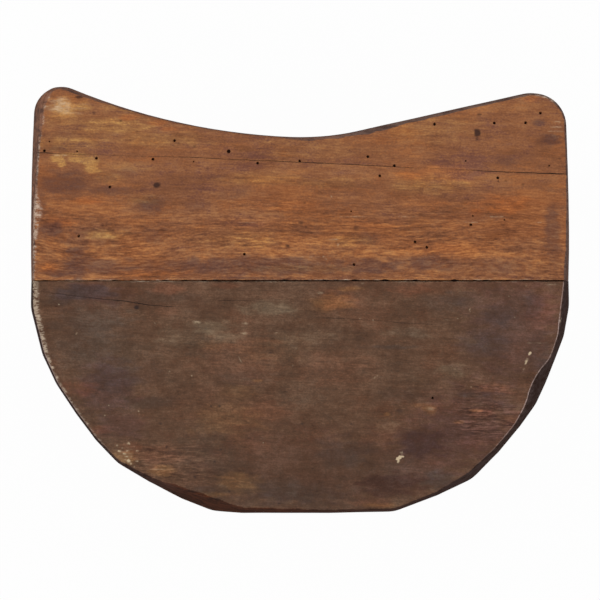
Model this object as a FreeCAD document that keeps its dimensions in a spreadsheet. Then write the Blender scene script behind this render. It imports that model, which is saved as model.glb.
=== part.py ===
"""Three-legged milking stool, in millimetres.

Two hewn planks are dowelled edge to edge, two battens are nailed under them across the seam, and
three splayed eight-sided legs are fox-wedged into blind sockets, so nothing shows on the sitting face.
+Z is up, +Y points to the hollowed back edge, and the origin is on the floor under the middle of the seat.
"""

import FreeCAD
import Part
import Sketcher

import math
import os

# Driving dimensions: name, value, what it measures.
SIZES = (
    ("seat_width", 382, "side to side along the seam, at the lower arris"),
    ("front_plank_depth", 165, "front edge to seam"),
    ("back_plank_depth", 138, "seam to the tip of the left horn"),
    ("seat_height", 254, "floor to sitting face"),
    ("plank_thickness", 36, "both planks"),
    ("arris_wear", 1.6, "worn off the upper arris, inwards and downwards"),
    ("left_edge_bevel", 3.4, "hewn in from the lower arris to the upper one, at the seam"),
    ("right_edge_bevel", 4.4, "the same on the right"),
    ("left_side_radius", 1700, "slight bow of the back plank's left side"),
    ("left_horn_radius", 20, "outer corner of the left horn"),
    ("left_horn_in", 1.8, "horn in from the seam's left end"),
    ("left_horn_bevel", 7.5, "hewn in at the side of the horn"),
    ("right_side_radius", 1200, "the same on the right"),
    ("right_horn_radius", 25, "outer corner of the right horn"),
    ("right_horn_in", 2.3, "horn in from the seam's right end"),
    ("right_horn_bevel", 2, "hewn in at the side of the horn"),
    ("right_horn_drop", 4.4, "tip of the right horn short of the tip of the left one"),
    ("horn_tip_bevel", 2.2, "hewn in at both tips"),
    ("hollow_depth", 35.5, "horn tip to the end of the hollow's long left arc"),
    ("hollow_offset", 6, "that end to the left of the middle"),
    ("hollow_turn_run", 46.5, "from there to the start of the straight right flank"),
    ("hollow_turn_rise", 4.2, "how much higher the flank starts"),
    ("hollow_bevel", 2, "hewn in along the hollow"),
    ("facet_blend_radius", 25, "rounding between the hewn facets of the front"),
    ("batten_width", 36, "across"),
    ("batten_thickness", 24, "below the seat"),
    ("batten_back_reach", 94, "seam to the back end"),
    ("batten_front_reach", 104, "seam to the front end"),
    ("batten_leg_gap", 2.5, "between a batten and the nearest corner of its rear leg's shoulder"),
    ("batten_end_chamfer", 9, "lower corner of each end"),
    ("batten_arris_chamfer", 2, "long lower edges"),
    ("nail_width", 4, "square shank, under the head"),
    ("nail_tip_width", 1, "square shank, at the tip"),
    ("nail_head_width", 10, "forged head, at its rim"),
    ("nail_crown_width", 4, "forged head, at its middle"),
    ("nail_rim_height", 0.8, "straight part of the head"),
    ("nail_crown_height", 2, "hammered part of the head"),
    ("nail_cover", 7, "wood left above the tip"),
    ("nail_zigzag", 6.5, "nails to either side of the batten's middle"),
    ("nail_end_inset", 26.5, "outer nails from the batten's ends"),
    ("nail_seam_inset", 18, "inner nails from the seam"),
    ("nail_clearance", 0.05, "hole beyond the shank, at each side"),
    ("dowel_diameter", 10, "shaved seam dowels, across their corners"),
    ("dowel_length", 64, "half in each plank"),
    ("dowel_batten_gap", 20, "outer dowels outside the battens"),
    ("dowel_taper", 1, "off each side at both ends"),
    ("dowel_taper_length", 5, "tapered part of each end"),
    ("dowel_clearance", 0.05, "hole beyond the dowel's corners"),
    ("dowel_end_gap", 2, "hole beyond the dowel, at each end"),
    ("rear_leg_side_inset", 44, "seat's side to a rear leg's axis at the underside"),
    ("rear_leg_seam_offset", 70, "seam to a rear leg's axis at the underside"),
    ("rear_leg_heading", 30, "degrees from the side that a rear leg splays towards the back"),
    ("front_leg_inset", 60, "front edge to the front leg's axis at the underside"),
    ("leg_splay", 7, "degrees from upright"),
    ("leg_foot_width", 29, "across flats at the foot"),
    ("leg_foot_ease", 2.5, "cut off the foot's edge, inwards and upwards"),
    ("leg_belly_width", 39, "across flats at the thickest"),
    ("leg_belly_drop", 78, "underside to the belly, along the leg"),
    ("leg_shoulder_width", 36, "across flats at the shoulder"),
    ("leg_shoulder_drop", 25, "underside to the shoulder, along the leg"),
    ("leg_neck_margin", 0.6, "neck beyond the tenon, on the radius"),
    ("leg_neck_gap", 0.8, "neck's nearest corner below the seat"),
    ("tenon_diameter", 26, "round tenon"),
    ("tenon_clearance", 0.05, "socket beyond the tenon, on the radius"),
    ("tenon_end_gap", 1, "tenon's end short of the socket's end"),
    ("socket_roof", 10, "wood left above a socket, at its axis"),
    ("wedge_length", 18, "along the leg"),
    ("wedge_head", 4, "thickness at the driven end"),
    ("wedge_tip", 1.2, "thickness at the thin end"),
    ("wedge_margin", 1, "wedge inside the tenon at each side"),
)

# Corners between the hewn facets of the front, from the left end of the seam round to the right end.
# Each stands on a half ellipse as wide as the seat and as deep as the plank: name, side, degrees from
# the seam, how far it stands outside the ellipse, and how far it is hewn in at the top.
FRONT_CORNERS = (
    ("left_corner_1", "left", 6.8, 1.75, 4.3),
    ("left_corner_2", "left", 18.3, 1.9, 4.1),
    ("left_corner_3", "left", 26, 1.9, 3.8),
    ("left_corner_4", "left", 34.5, 2, 3.7),
    ("left_corner_5", "left", 42, 4.3, 3.6),
    ("left_corner_6", "left", 49.2, 6.6, 3.6),
    ("left_corner_7", "left", 57, 5.4, 3.9),
    ("left_corner_8", "left", 65, 6.3, 8.2),
    ("left_corner_9", "left", 71.8, 7.2, 9),
    ("left_corner_10", "left", 77.8, 3.84, 4.5),
    ("right_corner_11", "right", 84, 0.9, 3.5),
    ("right_corner_10", "right", 70.6, 9, 4),
    ("right_corner_9", "right", 61, 9.6, 4.2),
    ("right_corner_8", "right", 53, 11.8, 7),
    ("right_corner_7", "right", 45, 7.9, 5.2),
    ("right_corner_6", "right", 37.4, 5.7, 4.7),
    ("right_corner_5", "right", 31, 4.8, 6.4),
    ("right_corner_4", "right", 25.8, 2.8, 9.4),
    ("right_corner_3", "right", 20, 1.5, 5.3),
    ("right_corner_2", "right", 13.5, 2.1, 5.7),
    ("right_corner_1", "right", 6.3, 1.6, 7),
)

# Places and sizes that several pieces share.
UNDERSIDE = "(sizes.seat_height - sizes.plank_thickness)"
SEAT_DEPTH = "(sizes.front_plank_depth + sizes.back_plank_depth)"
FRONT_Y = f"(-{SEAT_DEPTH} / 2)"
BACK_Y = f"({SEAT_DEPTH} / 2)"
SEAM_Y = f"({FRONT_Y} + sizes.front_plank_depth)"
HALF_WIDTH = "(sizes.seat_width / 2)"
OUTWARD = {"left": "-1", "right": "1"}
OCTAGON_HALF_ANGLE = "22.5"
ALONG_Y = "-90"
Y_TO_UP = "90"
Y_TO_DOWN = "-90"
TOWARDS_FRONT = "-90"
HALF_TURN = "180"
SHOULDER_CORNER = f"(sizes.leg_shoulder_width / 2 / cos({OCTAGON_HALF_ANGLE}))"
REAR_LEG_X = f"({HALF_WIDTH} - sizes.rear_leg_side_inset)"
BATTEN_EDGE = f"({REAR_LEG_X} - {SHOULDER_CORNER} - sizes.batten_leg_gap)"
BATTEN_X = f"({BATTEN_EDGE} - sizes.batten_width / 2)"
BATTEN_Z = f"({UNDERSIDE} - sizes.batten_thickness)"
DOWEL_X = f"({BATTEN_EDGE} + sizes.dowel_batten_gap + sizes.dowel_diameter / 2)"
NAIL_LENGTH = "(sizes.batten_thickness + sizes.plank_thickness - sizes.nail_cover)"
RIM_CORNER = "(-sizes.nail_head_width / 2)"
SOCKET_DEPTH = "((sizes.plank_thickness - sizes.socket_roof) / cos(sizes.leg_splay))"
SOCKET_RADIUS = "(sizes.tenon_diameter / 2 + sizes.tenon_clearance)"
LEG_LENGTH = f"({UNDERSIDE} / cos(sizes.leg_splay))"
NECK_WIDTH = "(sizes.tenon_diameter + 2 * sizes.leg_neck_margin)"
NECK_CORNER = f"({NECK_WIDTH} / 2 / cos({OCTAGON_HALF_ANGLE}))"
NECK_DROP = f"({NECK_CORNER} * tan(sizes.leg_splay) + sizes.leg_neck_gap)"

# Outlines that a plank is hewn through, from below: name, height, and what is worn off besides the bevel.
LEVELS = (
    ("lower_arris", "0", None),
    ("bevel_top", "(sizes.plank_thickness - sizes.arris_wear)", "0"),
    ("sitting_face", "sizes.plank_thickness", "sizes.arris_wear"),
)

# Each leg: name, side to side, front to back, heading in degrees, and the plank that holds it.
LEGS = (
    (
        "left_rear_leg",
        f"(-{REAR_LEG_X})",
        f"({SEAM_Y} + sizes.rear_leg_seam_offset)",
        f"({HALF_TURN} - sizes.rear_leg_heading)",
        "seat_back_plank",
    ),
    (
        "right_rear_leg",
        REAR_LEG_X,
        f"({SEAM_Y} + sizes.rear_leg_seam_offset)",
        "sizes.rear_leg_heading",
        "seat_back_plank",
    ),
    ("front_leg", "0", f"({FRONT_Y} + sizes.front_leg_inset)", TOWARDS_FRONT, "seat_front_plank"),
)

# Each dowel: name and place along the seam.
DOWELS = (
    ("left_seam_dowel", f"(-{DOWEL_X})"),
    ("middle_seam_dowel", "0"),
    ("right_seam_dowel", DOWEL_X),
)

# Which way an edge runs, and whether it lies in a plane, are told by these limits.
RUNS_ALONG = 0.5
IN_PLANE = 1e-6

# The nails of one batten, from back to front: number, way out from its middle, place from the seam, plank.
NAILS = (
    (1, "-1", "(sizes.batten_back_reach - sizes.nail_end_inset)", "seat_back_plank"),
    (2, "1", "sizes.nail_seam_inset", "seat_back_plank"),
    (3, "1", "(-sizes.nail_seam_inset)", "seat_front_plank"),
    (4, "-1", "(sizes.nail_end_inset - sizes.batten_front_reach)", "seat_front_plank"),
)

doc = FreeCAD.newDocument("milking_stool")
sizes = doc.addObject("Spreadsheet::Sheet", "sizes")
nodes = []


def fill_sheet():
    """Writes every driving dimension to its own named cell."""
    rows = list(SIZES)
    for name, side, angle, stand_off, bevel in FRONT_CORNERS:
        rows.append((f"{name}_angle", angle, f"degrees from the {side} end of the seam"))
        rows.append((f"{name}_stand_off", stand_off, "outside the half ellipse"))
        rows.append((f"{name}_bevel", bevel, "hewn in from the lower arris to the upper one"))
    for number, (alias, size, note) in enumerate(rows, start=1):
        sizes.set(f"A{number}", alias)
        sizes.set(f"B{number}", str(size))
        sizes.set(f"C{number}", note)
        sizes.setAlias(f"B{number}", alias)
    doc.recompute()


def value(expression):
    """The number that an expression has now."""
    return float(sizes.evalExpression(expression))


def vector(x, y):
    """The point that two expressions give now."""
    return FreeCAD.Vector(value(x), value(y))


def place(x="0", y="0", z="0", yaw="0", pitch="0", roll="0"):
    """A placement, as an expression."""
    spot = f"create(<<vector>>; {x}; {y}; {z})"
    turn = f"create(<<rotation>>; {yaw}; {pitch}; {roll})"
    return f"create(<<placement>>; {spot}; {turn})"


def bind(thing, **expressions):
    """Ties properties of an object to cells of the sheet."""
    for name, expression in expressions.items():
        thing.setExpression(name, expression)
    return thing


def new_body(label, placement):
    """An empty body for one piece."""
    body = doc.addObject("PartDesign::Body", label)
    body.Label = label
    nodes.append(body)
    return bind(body, Placement=placement)


def attach(body, kind, name, offset=None, role="XY_Plane"):
    """A sketch or a primitive on one of a body's origin planes, moved by a placement expression."""
    thing = body.newObject(kind, name)
    planes = {feature.Role: feature for feature in body.Origin.OriginFeatures}
    thing.AttachmentSupport = [(planes[role], "")]
    thing.MapMode = "FlatFace"
    if offset:
        bind(thing, AttachmentOffset=offset)
    return thing


def new_sketch(body, name, offset=None, role="XY_Plane"):
    """An empty sketch on one of a body's origin planes."""
    return attach(body, "Sketcher::SketchObject", name, offset, role)


def tie(sketch, expression, *constraint):
    """Adds a constraint whose value is an expression."""
    number = sketch.addConstraint(Sketcher.Constraint(*constraint, value(expression)))
    sketch.setExpression(f"Constraints[{number}]", expression)


def fix_point(sketch, edge, end, x, y):
    """Ties one point of a sketch to its two coordinates."""
    tie(sketch, x, "DistanceX", -1, 1, edge, end)
    tie(sketch, y, "DistanceY", -1, 1, edge, end)


def polygon(sketch, corners):
    """A closed outline of straight lines through corners given as pairs of expressions."""
    points = [vector(x, y) for x, y in corners]
    for start, end in zip(points, points[1:] + points[:1]):
        sketch.addGeometry(Part.LineSegment(start, end))
    for edge, (x, y) in enumerate(corners):
        following = (edge + 1) % len(corners)
        sketch.addConstraint(Sketcher.Constraint("Coincident", edge, 2, following, 1))
        fix_point(sketch, edge, 1, x, y)
    return sketch


def arc_between(centre, start, end):
    """The part of a circle that runs anticlockwise from start to end."""
    first, last = (math.atan2(point.y - centre.y, point.x - centre.x) for point in (start, end))
    if last < first:
        last += 2 * math.pi
    circle = Part.Circle(centre, FreeCAD.Vector(0, 0, 1), (start - centre).Length)
    return Part.ArcOfCircle(circle, first, last)


def faceted_outline(sketch, seam_ends, corners, radius):
    """A closed outline, drawn anticlockwise: a sharp-ended seam, then facets with an arc between each two."""
    spots = list(seam_ends) + list(corners)
    points = [vector(x, y) for x, y in spots]
    count = len(points)
    headings = [(points[(n + 1) % count] - points[n]).normalize() for n in range(count)]
    starts, ends, arcs = list(points), points[1:] + points[:1], {}
    for corner in range(len(seam_ends), count):
        before, after = headings[corner - 1], headings[corner]
        turn = math.copysign(before.getAngle(after), before.cross(after).z)
        reach = value(radius) * math.tan(abs(turn) / 2)
        ends[corner - 1] = points[corner] - before * reach
        starts[corner] = points[corner] + after * reach
        aside = FreeCAD.Vector(-before.y, before.x) * math.copysign(value(radius), turn)
        centre = ends[corner - 1] + aside
        limits = (ends[corner - 1], starts[corner]) if turn > 0 else (starts[corner], ends[corner - 1])
        arcs[corner] = (arc_between(centre, *limits), turn > 0)
    for start, end in zip(starts, ends):
        sketch.addGeometry(Part.LineSegment(start, end))
    for corner, (x, y) in enumerate(spots):
        facet_before, facet_after = (corner - 1) % count, corner
        mark = sketch.addGeometry(Part.Point(points[corner]), True)
        fix_point(sketch, mark, 1, x, y)
        if corner not in arcs:
            sketch.addConstraint(Sketcher.Constraint("Coincident", facet_before, 2, mark, 1))
            sketch.addConstraint(Sketcher.Constraint("Coincident", facet_after, 1, mark, 1))
            continue
        shape, leftwards = arcs[corner]
        arc = sketch.addGeometry(shape)
        entry, leave = (1, 2) if leftwards else (2, 1)
        sketch.addConstraint(Sketcher.Constraint("PointOnObject", mark, 1, facet_before))
        sketch.addConstraint(Sketcher.Constraint("PointOnObject", mark, 1, facet_after))
        sketch.addConstraint(Sketcher.Constraint("Tangent", facet_before, 2, arc, entry))
        sketch.addConstraint(Sketcher.Constraint("Tangent", arc, leave, facet_after, 1))
        tie(sketch, radius, "Radius", arc)
    return sketch


def loft(body, name, sections):
    """A solid through closed sketches, straight from each to the next."""
    feature = body.newObject("PartDesign::AdditiveLoft", name)
    feature.Profile = sections[0]
    feature.Sections = sections[1:]
    feature.Ruled = True
    return feature


def bore(body, name, radius, height, offset):
    """A round hole, from the place that offset gives and along its own upward axis."""
    cylinder = attach(body, "PartDesign::SubtractiveCylinder", name, offset)
    return bind(cylinder, Radius=radius, Height=height)


def square_taper(body, kind, name, start_width, end_width, length, offset):
    """A square bar or hole whose width changes along its own Y axis."""
    start, end = f"({start_width} / 2)", f"({end_width} / 2)"
    taper = attach(body, kind, name, offset)
    bind(taper, Xmin=f"-{start}", Xmax=start, Zmin=f"-{start}", Zmax=start, Ymin="0", Ymax=length)
    return bind(taper, X2min=f"-{end}", X2max=end, Z2min=f"-{end}", Z2max=end)


def octagon(width, stretch="1"):
    """Corners of an eight-sided section, anticlockwise, stretched along its first axis."""
    flat, corner = f"({width} / 2)", f"({width} / 2 * tan({OCTAGON_HALF_ANGLE}))"
    quarter = [(flat, corner), (corner, flat)]
    upper = quarter + [(f"(-{x})", y) for x, y in reversed(quarter)]
    lower = [(x, f"(-{y})") for x, y in reversed(upper)]
    return [(f"({x} * {stretch})", y) for x, y in upper + lower]


def eight_sided(body, name, sections):
    """A solid through eight-sided sections, each a name, its corners and its place."""
    loft(body, name, [polygon(new_sketch(body, part, offset), ring) for part, ring, offset in sections])


def chamfer(body, name, wanted, size):
    """Cuts off the edges of a body so far that a test picks."""
    doc.recompute()
    base = body.Tip
    picked = [f"Edge{n}" for n, edge in enumerate(base.Shape.Edges, start=1) if wanted(edge)]
    feature = body.newObject("PartDesign::Chamfer", name)
    feature.Base = (base, picked)
    return bind(feature, Size=size)


# Seat planks.


def hewn_in(bevel, wear):
    """How far an outline stands in from the lower arris, by its bevel and the wear at its level."""
    return "0" if wear is None else f"({bevel} + {wear})"


def seam_end(side, wear):
    """One end of the seam."""
    return f"({OUTWARD[side]} * ({HALF_WIDTH} - {hewn_in(f'sizes.{side}_edge_bevel', wear)}))", SEAM_Y


def front_corner(name, side, wear):
    """One corner between two facets of the front, along its ray from the middle of the seam."""
    across = f"({HALF_WIDTH} * cos(sizes.{name}_angle))"
    down = f"(sizes.front_plank_depth * sin(sizes.{name}_angle))"
    growth = f"(sizes.{name}_stand_off - {hewn_in(f'sizes.{name}_bevel', wear)})"
    share = f"(1 + {growth} / hypot({across}; {down}))"
    return f"({OUTWARD[side]} * {across} * {share})", f"({SEAM_Y} - {down} * {share})"


def front_outline(body, name, height, wear):
    """The front plank's outline: the seam, then the facets from left to right."""
    seam_ends = [seam_end("right", wear), seam_end("left", wear)]
    corners = [front_corner(corner, side, wear) for corner, side, _, _, _ in FRONT_CORNERS]
    sketch = new_sketch(body, name, place(z=height))
    return faceted_outline(sketch, seam_ends, corners, "sizes.facet_blend_radius")


def horn(side, wear):
    """Centre and radius of a horn's round corner."""
    hewn = hewn_in(f"sizes.{side}_horn_bevel", wear)
    radius = f"(sizes.{side}_horn_radius - {hewn})"
    x = f"({OUTWARD[side]} * ({HALF_WIDTH} - sizes.{side}_horn_in - {hewn} - {radius}))"
    tip = f"({BACK_Y} - {hewn_in('sizes.horn_tip_bevel', wear)})"
    if side == "right":
        tip = f"({tip} - sizes.right_horn_drop)"
    return x, f"({tip} - {radius})", radius


def tangent_point(point, centre, radius):
    """Where a line from a point to the left of a circle touches its upper side."""
    run = centre - point
    turn = math.asin(radius / run.Length) + math.atan2(run.y, run.x)
    reach = math.sqrt(run.Length**2 - radius**2)
    return point + FreeCAD.Vector(math.cos(turn), math.sin(turn)) * reach


def bowed_side(end, horn_middle, horn_radius, radius, side):
    """Centre of a side's bow from the seam's end, and the point where it runs into the horn's round corner."""
    run = horn_middle - end
    along = (radius**2 - (radius - horn_radius) ** 2 + run.Length**2) / (2 * run.Length)
    inwards = value(OUTWARD[side]) * math.sqrt(radius**2 - along**2)
    way = run.normalize()
    centre = end + way * along + FreeCAD.Vector(-way.y, way.x) * inwards
    return centre, horn_middle + (horn_middle - centre).normalize() * horn_radius


def back_outline(body, name, height, wear):
    """The back plank's outline: the seam, a side, a horn, the hollow, the other horn and the other side."""
    left_end, right_end = seam_end("left", wear), seam_end("right", wear)
    left_x, left_y, left_radius = horn("left", wear)
    right_x, right_y, right_radius = horn("right", wear)
    low_y = f"({BACK_Y} - sizes.hollow_depth - {hewn_in('sizes.hollow_bevel', wear)})"
    low = ("(-sizes.hollow_offset)", low_y)
    rise = ("(sizes.hollow_turn_run - sizes.hollow_offset)", f"({low_y} + sizes.hollow_turn_rise)")

    # The flank touches the right horn, a small arc turns from it through the deepest point, and a long
    # arc goes on from there to the left horn, tangent to both.
    left_middle, right_middle = vector(left_x, left_y), vector(right_x, right_y)
    low_point, rise_point = vector(*low), vector(*rise)
    flank_top = tangent_point(rise_point, right_middle, value(right_radius))
    flank_way = (rise_point - flank_top).normalize()
    flank_side = FreeCAD.Vector(flank_way.y, -flank_way.x)
    chord = low_point - rise_point
    rise_middle = rise_point + flank_side * (chord.Length**2 / (2 * flank_side.dot(chord)))
    low_side = (rise_middle - low_point).normalize()
    reach = low_point - left_middle
    spare = value(left_radius) ** 2 - reach.Length**2
    hollow_middle = low_point + low_side * (spare / (2 * (low_side.dot(reach) - value(left_radius))))
    horn_end = left_middle + (hollow_middle - left_middle).normalize() * value(left_radius)
    left_bow, left_side_top = bowed_side(
        vector(*left_end), left_middle, value(left_radius), value("sizes.left_side_radius"), "left"
    )
    right_bow, right_side_top = bowed_side(
        vector(*right_end), right_middle, value(right_radius), value("sizes.right_side_radius"), "right"
    )

    sketch = new_sketch(body, name, place(z=height))
    seam, right_side, right_horn, flank, rise_arc, hollow_arc, left_horn, left_side = sketch.addGeometry(
        [
            Part.LineSegment(vector(*left_end), vector(*right_end)),
            arc_between(right_bow, vector(*right_end), right_side_top),
            arc_between(right_middle, right_side_top, flank_top),
            Part.LineSegment(flank_top, rise_point),
            arc_between(rise_middle, low_point, rise_point),
            arc_between(hollow_middle, horn_end, low_point),
            arc_between(left_middle, horn_end, left_side_top),
            arc_between(left_bow, left_side_top, vector(*left_end)),
        ]
    )
    sketch.addConstraint(
        [
            Sketcher.Constraint("Coincident", seam, 2, right_side, 1),
            Sketcher.Constraint("Tangent", right_side, 2, right_horn, 1),
            Sketcher.Constraint("Tangent", right_horn, 2, flank, 1),
            Sketcher.Constraint("Tangent", flank, 2, rise_arc, 2),
            Sketcher.Constraint("Tangent", rise_arc, 1, hollow_arc, 2),
            Sketcher.Constraint("Tangent", hollow_arc, 1, left_horn, 1),
            Sketcher.Constraint("Tangent", left_horn, 2, left_side, 1),
            Sketcher.Constraint("Coincident", left_side, 2, seam, 1),
        ]
    )
    fix_point(sketch, seam, 1, *left_end)
    fix_point(sketch, seam, 2, *right_end)
    fix_point(sketch, rise_arc, 1, *low)
    fix_point(sketch, rise_arc, 2, *rise)
    fix_point(sketch, left_horn, 3, left_x, left_y)
    fix_point(sketch, right_horn, 3, right_x, right_y)
    tie(sketch, left_radius, "Radius", left_horn)
    tie(sketch, right_radius, "Radius", right_horn)
    tie(sketch, "sizes.left_side_radius", "Radius", left_side)
    tie(sketch, "sizes.right_side_radius", "Radius", right_side)
    return sketch


def cut_socket(plank, leg, x, y, heading):
    """A blind socket that leans with its leg and starts far enough below the plank to open its whole mouth."""
    start = "sizes.tenon_diameter"
    lean = f"({start} * sin(sizes.leg_splay))"
    offset = place(
        f"({x} + {lean} * cos({heading}))",
        f"({y} + {lean} * sin({heading}))",
        f"(-{start} * cos(sizes.leg_splay))",
        heading,
        "-sizes.leg_splay",
    )
    bore(plank, f"{leg}_socket", SOCKET_RADIUS, f"{start} + {SOCKET_DEPTH}", offset)


def cut_dowel_hole(plank, dowel, x):
    """A hole along the dowel's axis, half in each plank."""
    length = "(sizes.dowel_length + 2 * sizes.dowel_end_gap)"
    offset = place(x, f"({SEAM_Y} - {length} / 2)", "sizes.plank_thickness / 2", roll=ALONG_Y)
    bore(plank, f"{dowel}_hole", "(sizes.dowel_diameter / 2 + sizes.dowel_clearance)", length, offset)


def cut_nail_hole(body, nail, x, y, head_z):
    """A tapered square hole for a nail, from under its head up to its tip."""
    widths = [f"({width} + 2 * sizes.nail_clearance)" for width in ("sizes.nail_width", "sizes.nail_tip_width")]
    offset = place(x, y, head_z, roll=Y_TO_UP)
    square_taper(body, "PartDesign::SubtractiveWedge", f"{nail}_hole", *widths, NAIL_LENGTH, offset)


def make_plank(label, outline):
    """One seat plank, hewn from its lower arris up to its sitting face, with its sockets and holes."""
    body = new_body(label, place(z=UNDERSIDE))
    loft(body, "hewn_block", [outline(body, *level) for level in LEVELS])
    for leg, x, y, heading, holder in LEGS:
        if holder == label:
            cut_socket(body, leg, x, y, heading)
    for dowel, x in DOWELS:
        cut_dowel_hole(body, dowel, x)
    for side in OUTWARD:
        for nail, x, y, holder in nail_places(side):
            if holder == label:
                cut_nail_hole(body, nail, x, y, "(-sizes.batten_thickness)")


# Battens and what fastens them.


def nail_places(side):
    """Name, place and plank of each nail of a batten."""
    for number, way, from_seam, holder in NAILS:
        x = f"({OUTWARD[side]} * ({BATTEN_X} + {way} * sizes.nail_zigzag))"
        yield f"{side}_batten_nail_{number}", x, f"({SEAM_Y} + {from_seam})", holder


def is_lower_end(edge):
    """True for a batten's lower edges at its ends."""
    return is_low(edge) and abs(edge.tangentAt(edge.FirstParameter).x) > RUNS_ALONG


def is_lower_arris(edge):
    """True for a batten's long lower edges."""
    return is_low(edge) and abs(edge.tangentAt(edge.FirstParameter).y) > RUNS_ALONG


def is_low(edge):
    """True for an edge in a body's base plane."""
    return all(abs(vertex.Z) < IN_PLANE for vertex in edge.Vertexes)


def make_batten(side):
    """A batten across the seam, with its lower edges cut off and a hole for each nail."""
    middle = f"({OUTWARD[side]} * {BATTEN_X})"
    body = new_body(f"{side}_batten", place(middle, SEAM_Y, BATTEN_Z))
    half, front, back = "(sizes.batten_width / 2)", "(-sizes.batten_front_reach)", "sizes.batten_back_reach"
    corners = [(f"(-{half})", front), (half, front), (half, back), (f"(-{half})", back)]
    plan = polygon(new_sketch(body, "plan"), corners)
    bar = body.newObject("PartDesign::Pad", "bar")
    bar.Profile = plan
    bind(bar, Length="sizes.batten_thickness")
    chamfer(body, "cut_ends", is_lower_end, "sizes.batten_end_chamfer")
    chamfer(body, "eased_arrises", is_lower_arris, "sizes.batten_arris_chamfer")
    for nail, x, y, _ in nail_places(side):
        cut_nail_hole(body, nail, f"({x} - {middle})", f"({y} - {SEAM_Y})", "0")


def make_nail(name, x, y):
    """A forged nail driven up through the batten: a tapered square shank under a four-sided head."""
    body = new_body(name, place(x, y, BATTEN_Z))
    widths = "sizes.nail_width", "sizes.nail_tip_width"
    square_taper(body, "PartDesign::AdditiveWedge", "shank", *widths, NAIL_LENGTH, place(roll=Y_TO_UP))
    rim_place = place(RIM_CORNER, RIM_CORNER, "(-sizes.nail_rim_height)")
    rim = attach(body, "PartDesign::AdditiveBox", "rim", rim_place)
    bind(rim, Length="sizes.nail_head_width", Width="sizes.nail_head_width", Height="sizes.nail_rim_height")
    widths = "sizes.nail_head_width", "sizes.nail_crown_width"
    below_rim = place(z="(-sizes.nail_rim_height)", roll=Y_TO_DOWN)
    square_taper(body, "PartDesign::AdditiveWedge", "crown", *widths, "sizes.nail_crown_height", below_rim)


def make_dowel(name, x):
    """A shaved eight-sided dowel across the seam, tapered at both ends."""
    height = f"({UNDERSIDE} + sizes.plank_thickness / 2)"
    body = new_body(name, place(x, f"({SEAM_Y} - sizes.dowel_length / 2)", height, roll=ALONG_Y))
    full = f"(sizes.dowel_diameter * cos({OCTAGON_HALF_ANGLE}))"
    thin = f"({full} - 2 * sizes.dowel_taper)"
    sections = (
        ("first_end", octagon(thin), place()),
        ("first_taper", octagon(full), place(z="sizes.dowel_taper_length")),
        ("last_taper", octagon(full), place(z="(sizes.dowel_length - sizes.dowel_taper_length)")),
        ("last_end", octagon(thin), place(z="sizes.dowel_length")),
    )
    eight_sided(body, "shaved_peg", sections)


# Legs and their wedges.


def wedge_outline(sketch):
    """A wedge seen along its kerf: thin end down, driven end against the end of the socket."""
    top, bottom = SOCKET_DEPTH, f"({SOCKET_DEPTH} - sizes.wedge_length)"
    head, tip = "(sizes.wedge_head / 2)", "(sizes.wedge_tip / 2)"
    return polygon(sketch, [(f"(-{tip})", bottom), (tip, bottom), (head, top), (f"(-{head})", top)])


def make_leg(name, placement):
    """An eight-sided leg, sawn level at the foot, with a round tenon split for its wedge."""
    body = new_body(name, placement)
    upright = "(1 / cos(sizes.leg_splay))"
    sole_width = "(sizes.leg_foot_width - 2 * sizes.leg_foot_ease)"
    ankle_drop = f"({LEG_LENGTH} - sizes.leg_foot_ease * {upright})"
    level = "sizes.leg_splay"
    sections = (
        ("neck", octagon(NECK_WIDTH), place(z=f"(-{NECK_DROP})")),
        ("shoulder", octagon("sizes.leg_shoulder_width"), place(z="(-sizes.leg_shoulder_drop)")),
        ("belly", octagon("sizes.leg_belly_width"), place(z="(-sizes.leg_belly_drop)")),
        ("ankle", octagon("sizes.leg_foot_width", upright), place(z=f"(-{ankle_drop})", pitch=level)),
        ("sole", octagon(sole_width, upright), place(z=f"(-{LEG_LENGTH})", pitch=level)),
    )
    eight_sided(body, "shaved_leg", sections)
    root = "sizes.leg_shoulder_drop"
    tenon = attach(body, "PartDesign::AdditiveCylinder", "tenon", place(z=f"(-{root})"))
    bind(tenon, Radius="sizes.tenon_diameter / 2", Height=f"{root} + {SOCKET_DEPTH} - sizes.tenon_end_gap")
    kerf_outline = wedge_outline(new_sketch(body, "kerf_outline", role="XZ_Plane"))
    kerf = body.newObject("PartDesign::Pocket", "kerf")
    kerf.Profile = kerf_outline
    kerf.Type = "ThroughAll"
    kerf.SideType = "Symmetric"


def make_wedge(name, placement):
    """The wedge that spreads a leg's tenon in its socket."""
    body = new_body(name, placement)
    outline = wedge_outline(new_sketch(body, "wedge_outline", role="XZ_Plane"))
    pad = body.newObject("PartDesign::Pad", "split_wedge")
    pad.Profile = outline
    pad.SideType = "Symmetric"
    bind(pad, Length="sizes.tenon_diameter - 2 * sizes.wedge_margin")


def make_stool():
    """Every piece, from the seat down."""
    make_plank("seat_back_plank", back_outline)
    make_plank("seat_front_plank", front_outline)
    for name, x in DOWELS:
        make_dowel(name, x)
    for side in OUTWARD:
        make_batten(side)
        for name, x, y, _ in nail_places(side):
            make_nail(name, x, y)
    for name, x, y, heading, _ in LEGS:
        placement = place(x, y, UNDERSIDE, heading, "-sizes.leg_splay")
        make_leg(name, placement)
        make_wedge(f"{name}_wedge", placement)
    doc.recompute()


def check_model():
    """Stops the build if an object failed or a piece isn't one valid solid."""
    for thing in doc.Objects:
        if "Invalid" in thing.State or "Error" in thing.State:
            raise RuntimeError(f"{thing.Label} failed: {thing.State}")
    for body in nodes:
        shape = body.Shape
        if shape.isNull() or not shape.isValid() or len(shape.Solids) != 1:
            raise RuntimeError(f"{body.Label} isn't one valid solid")


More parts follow.
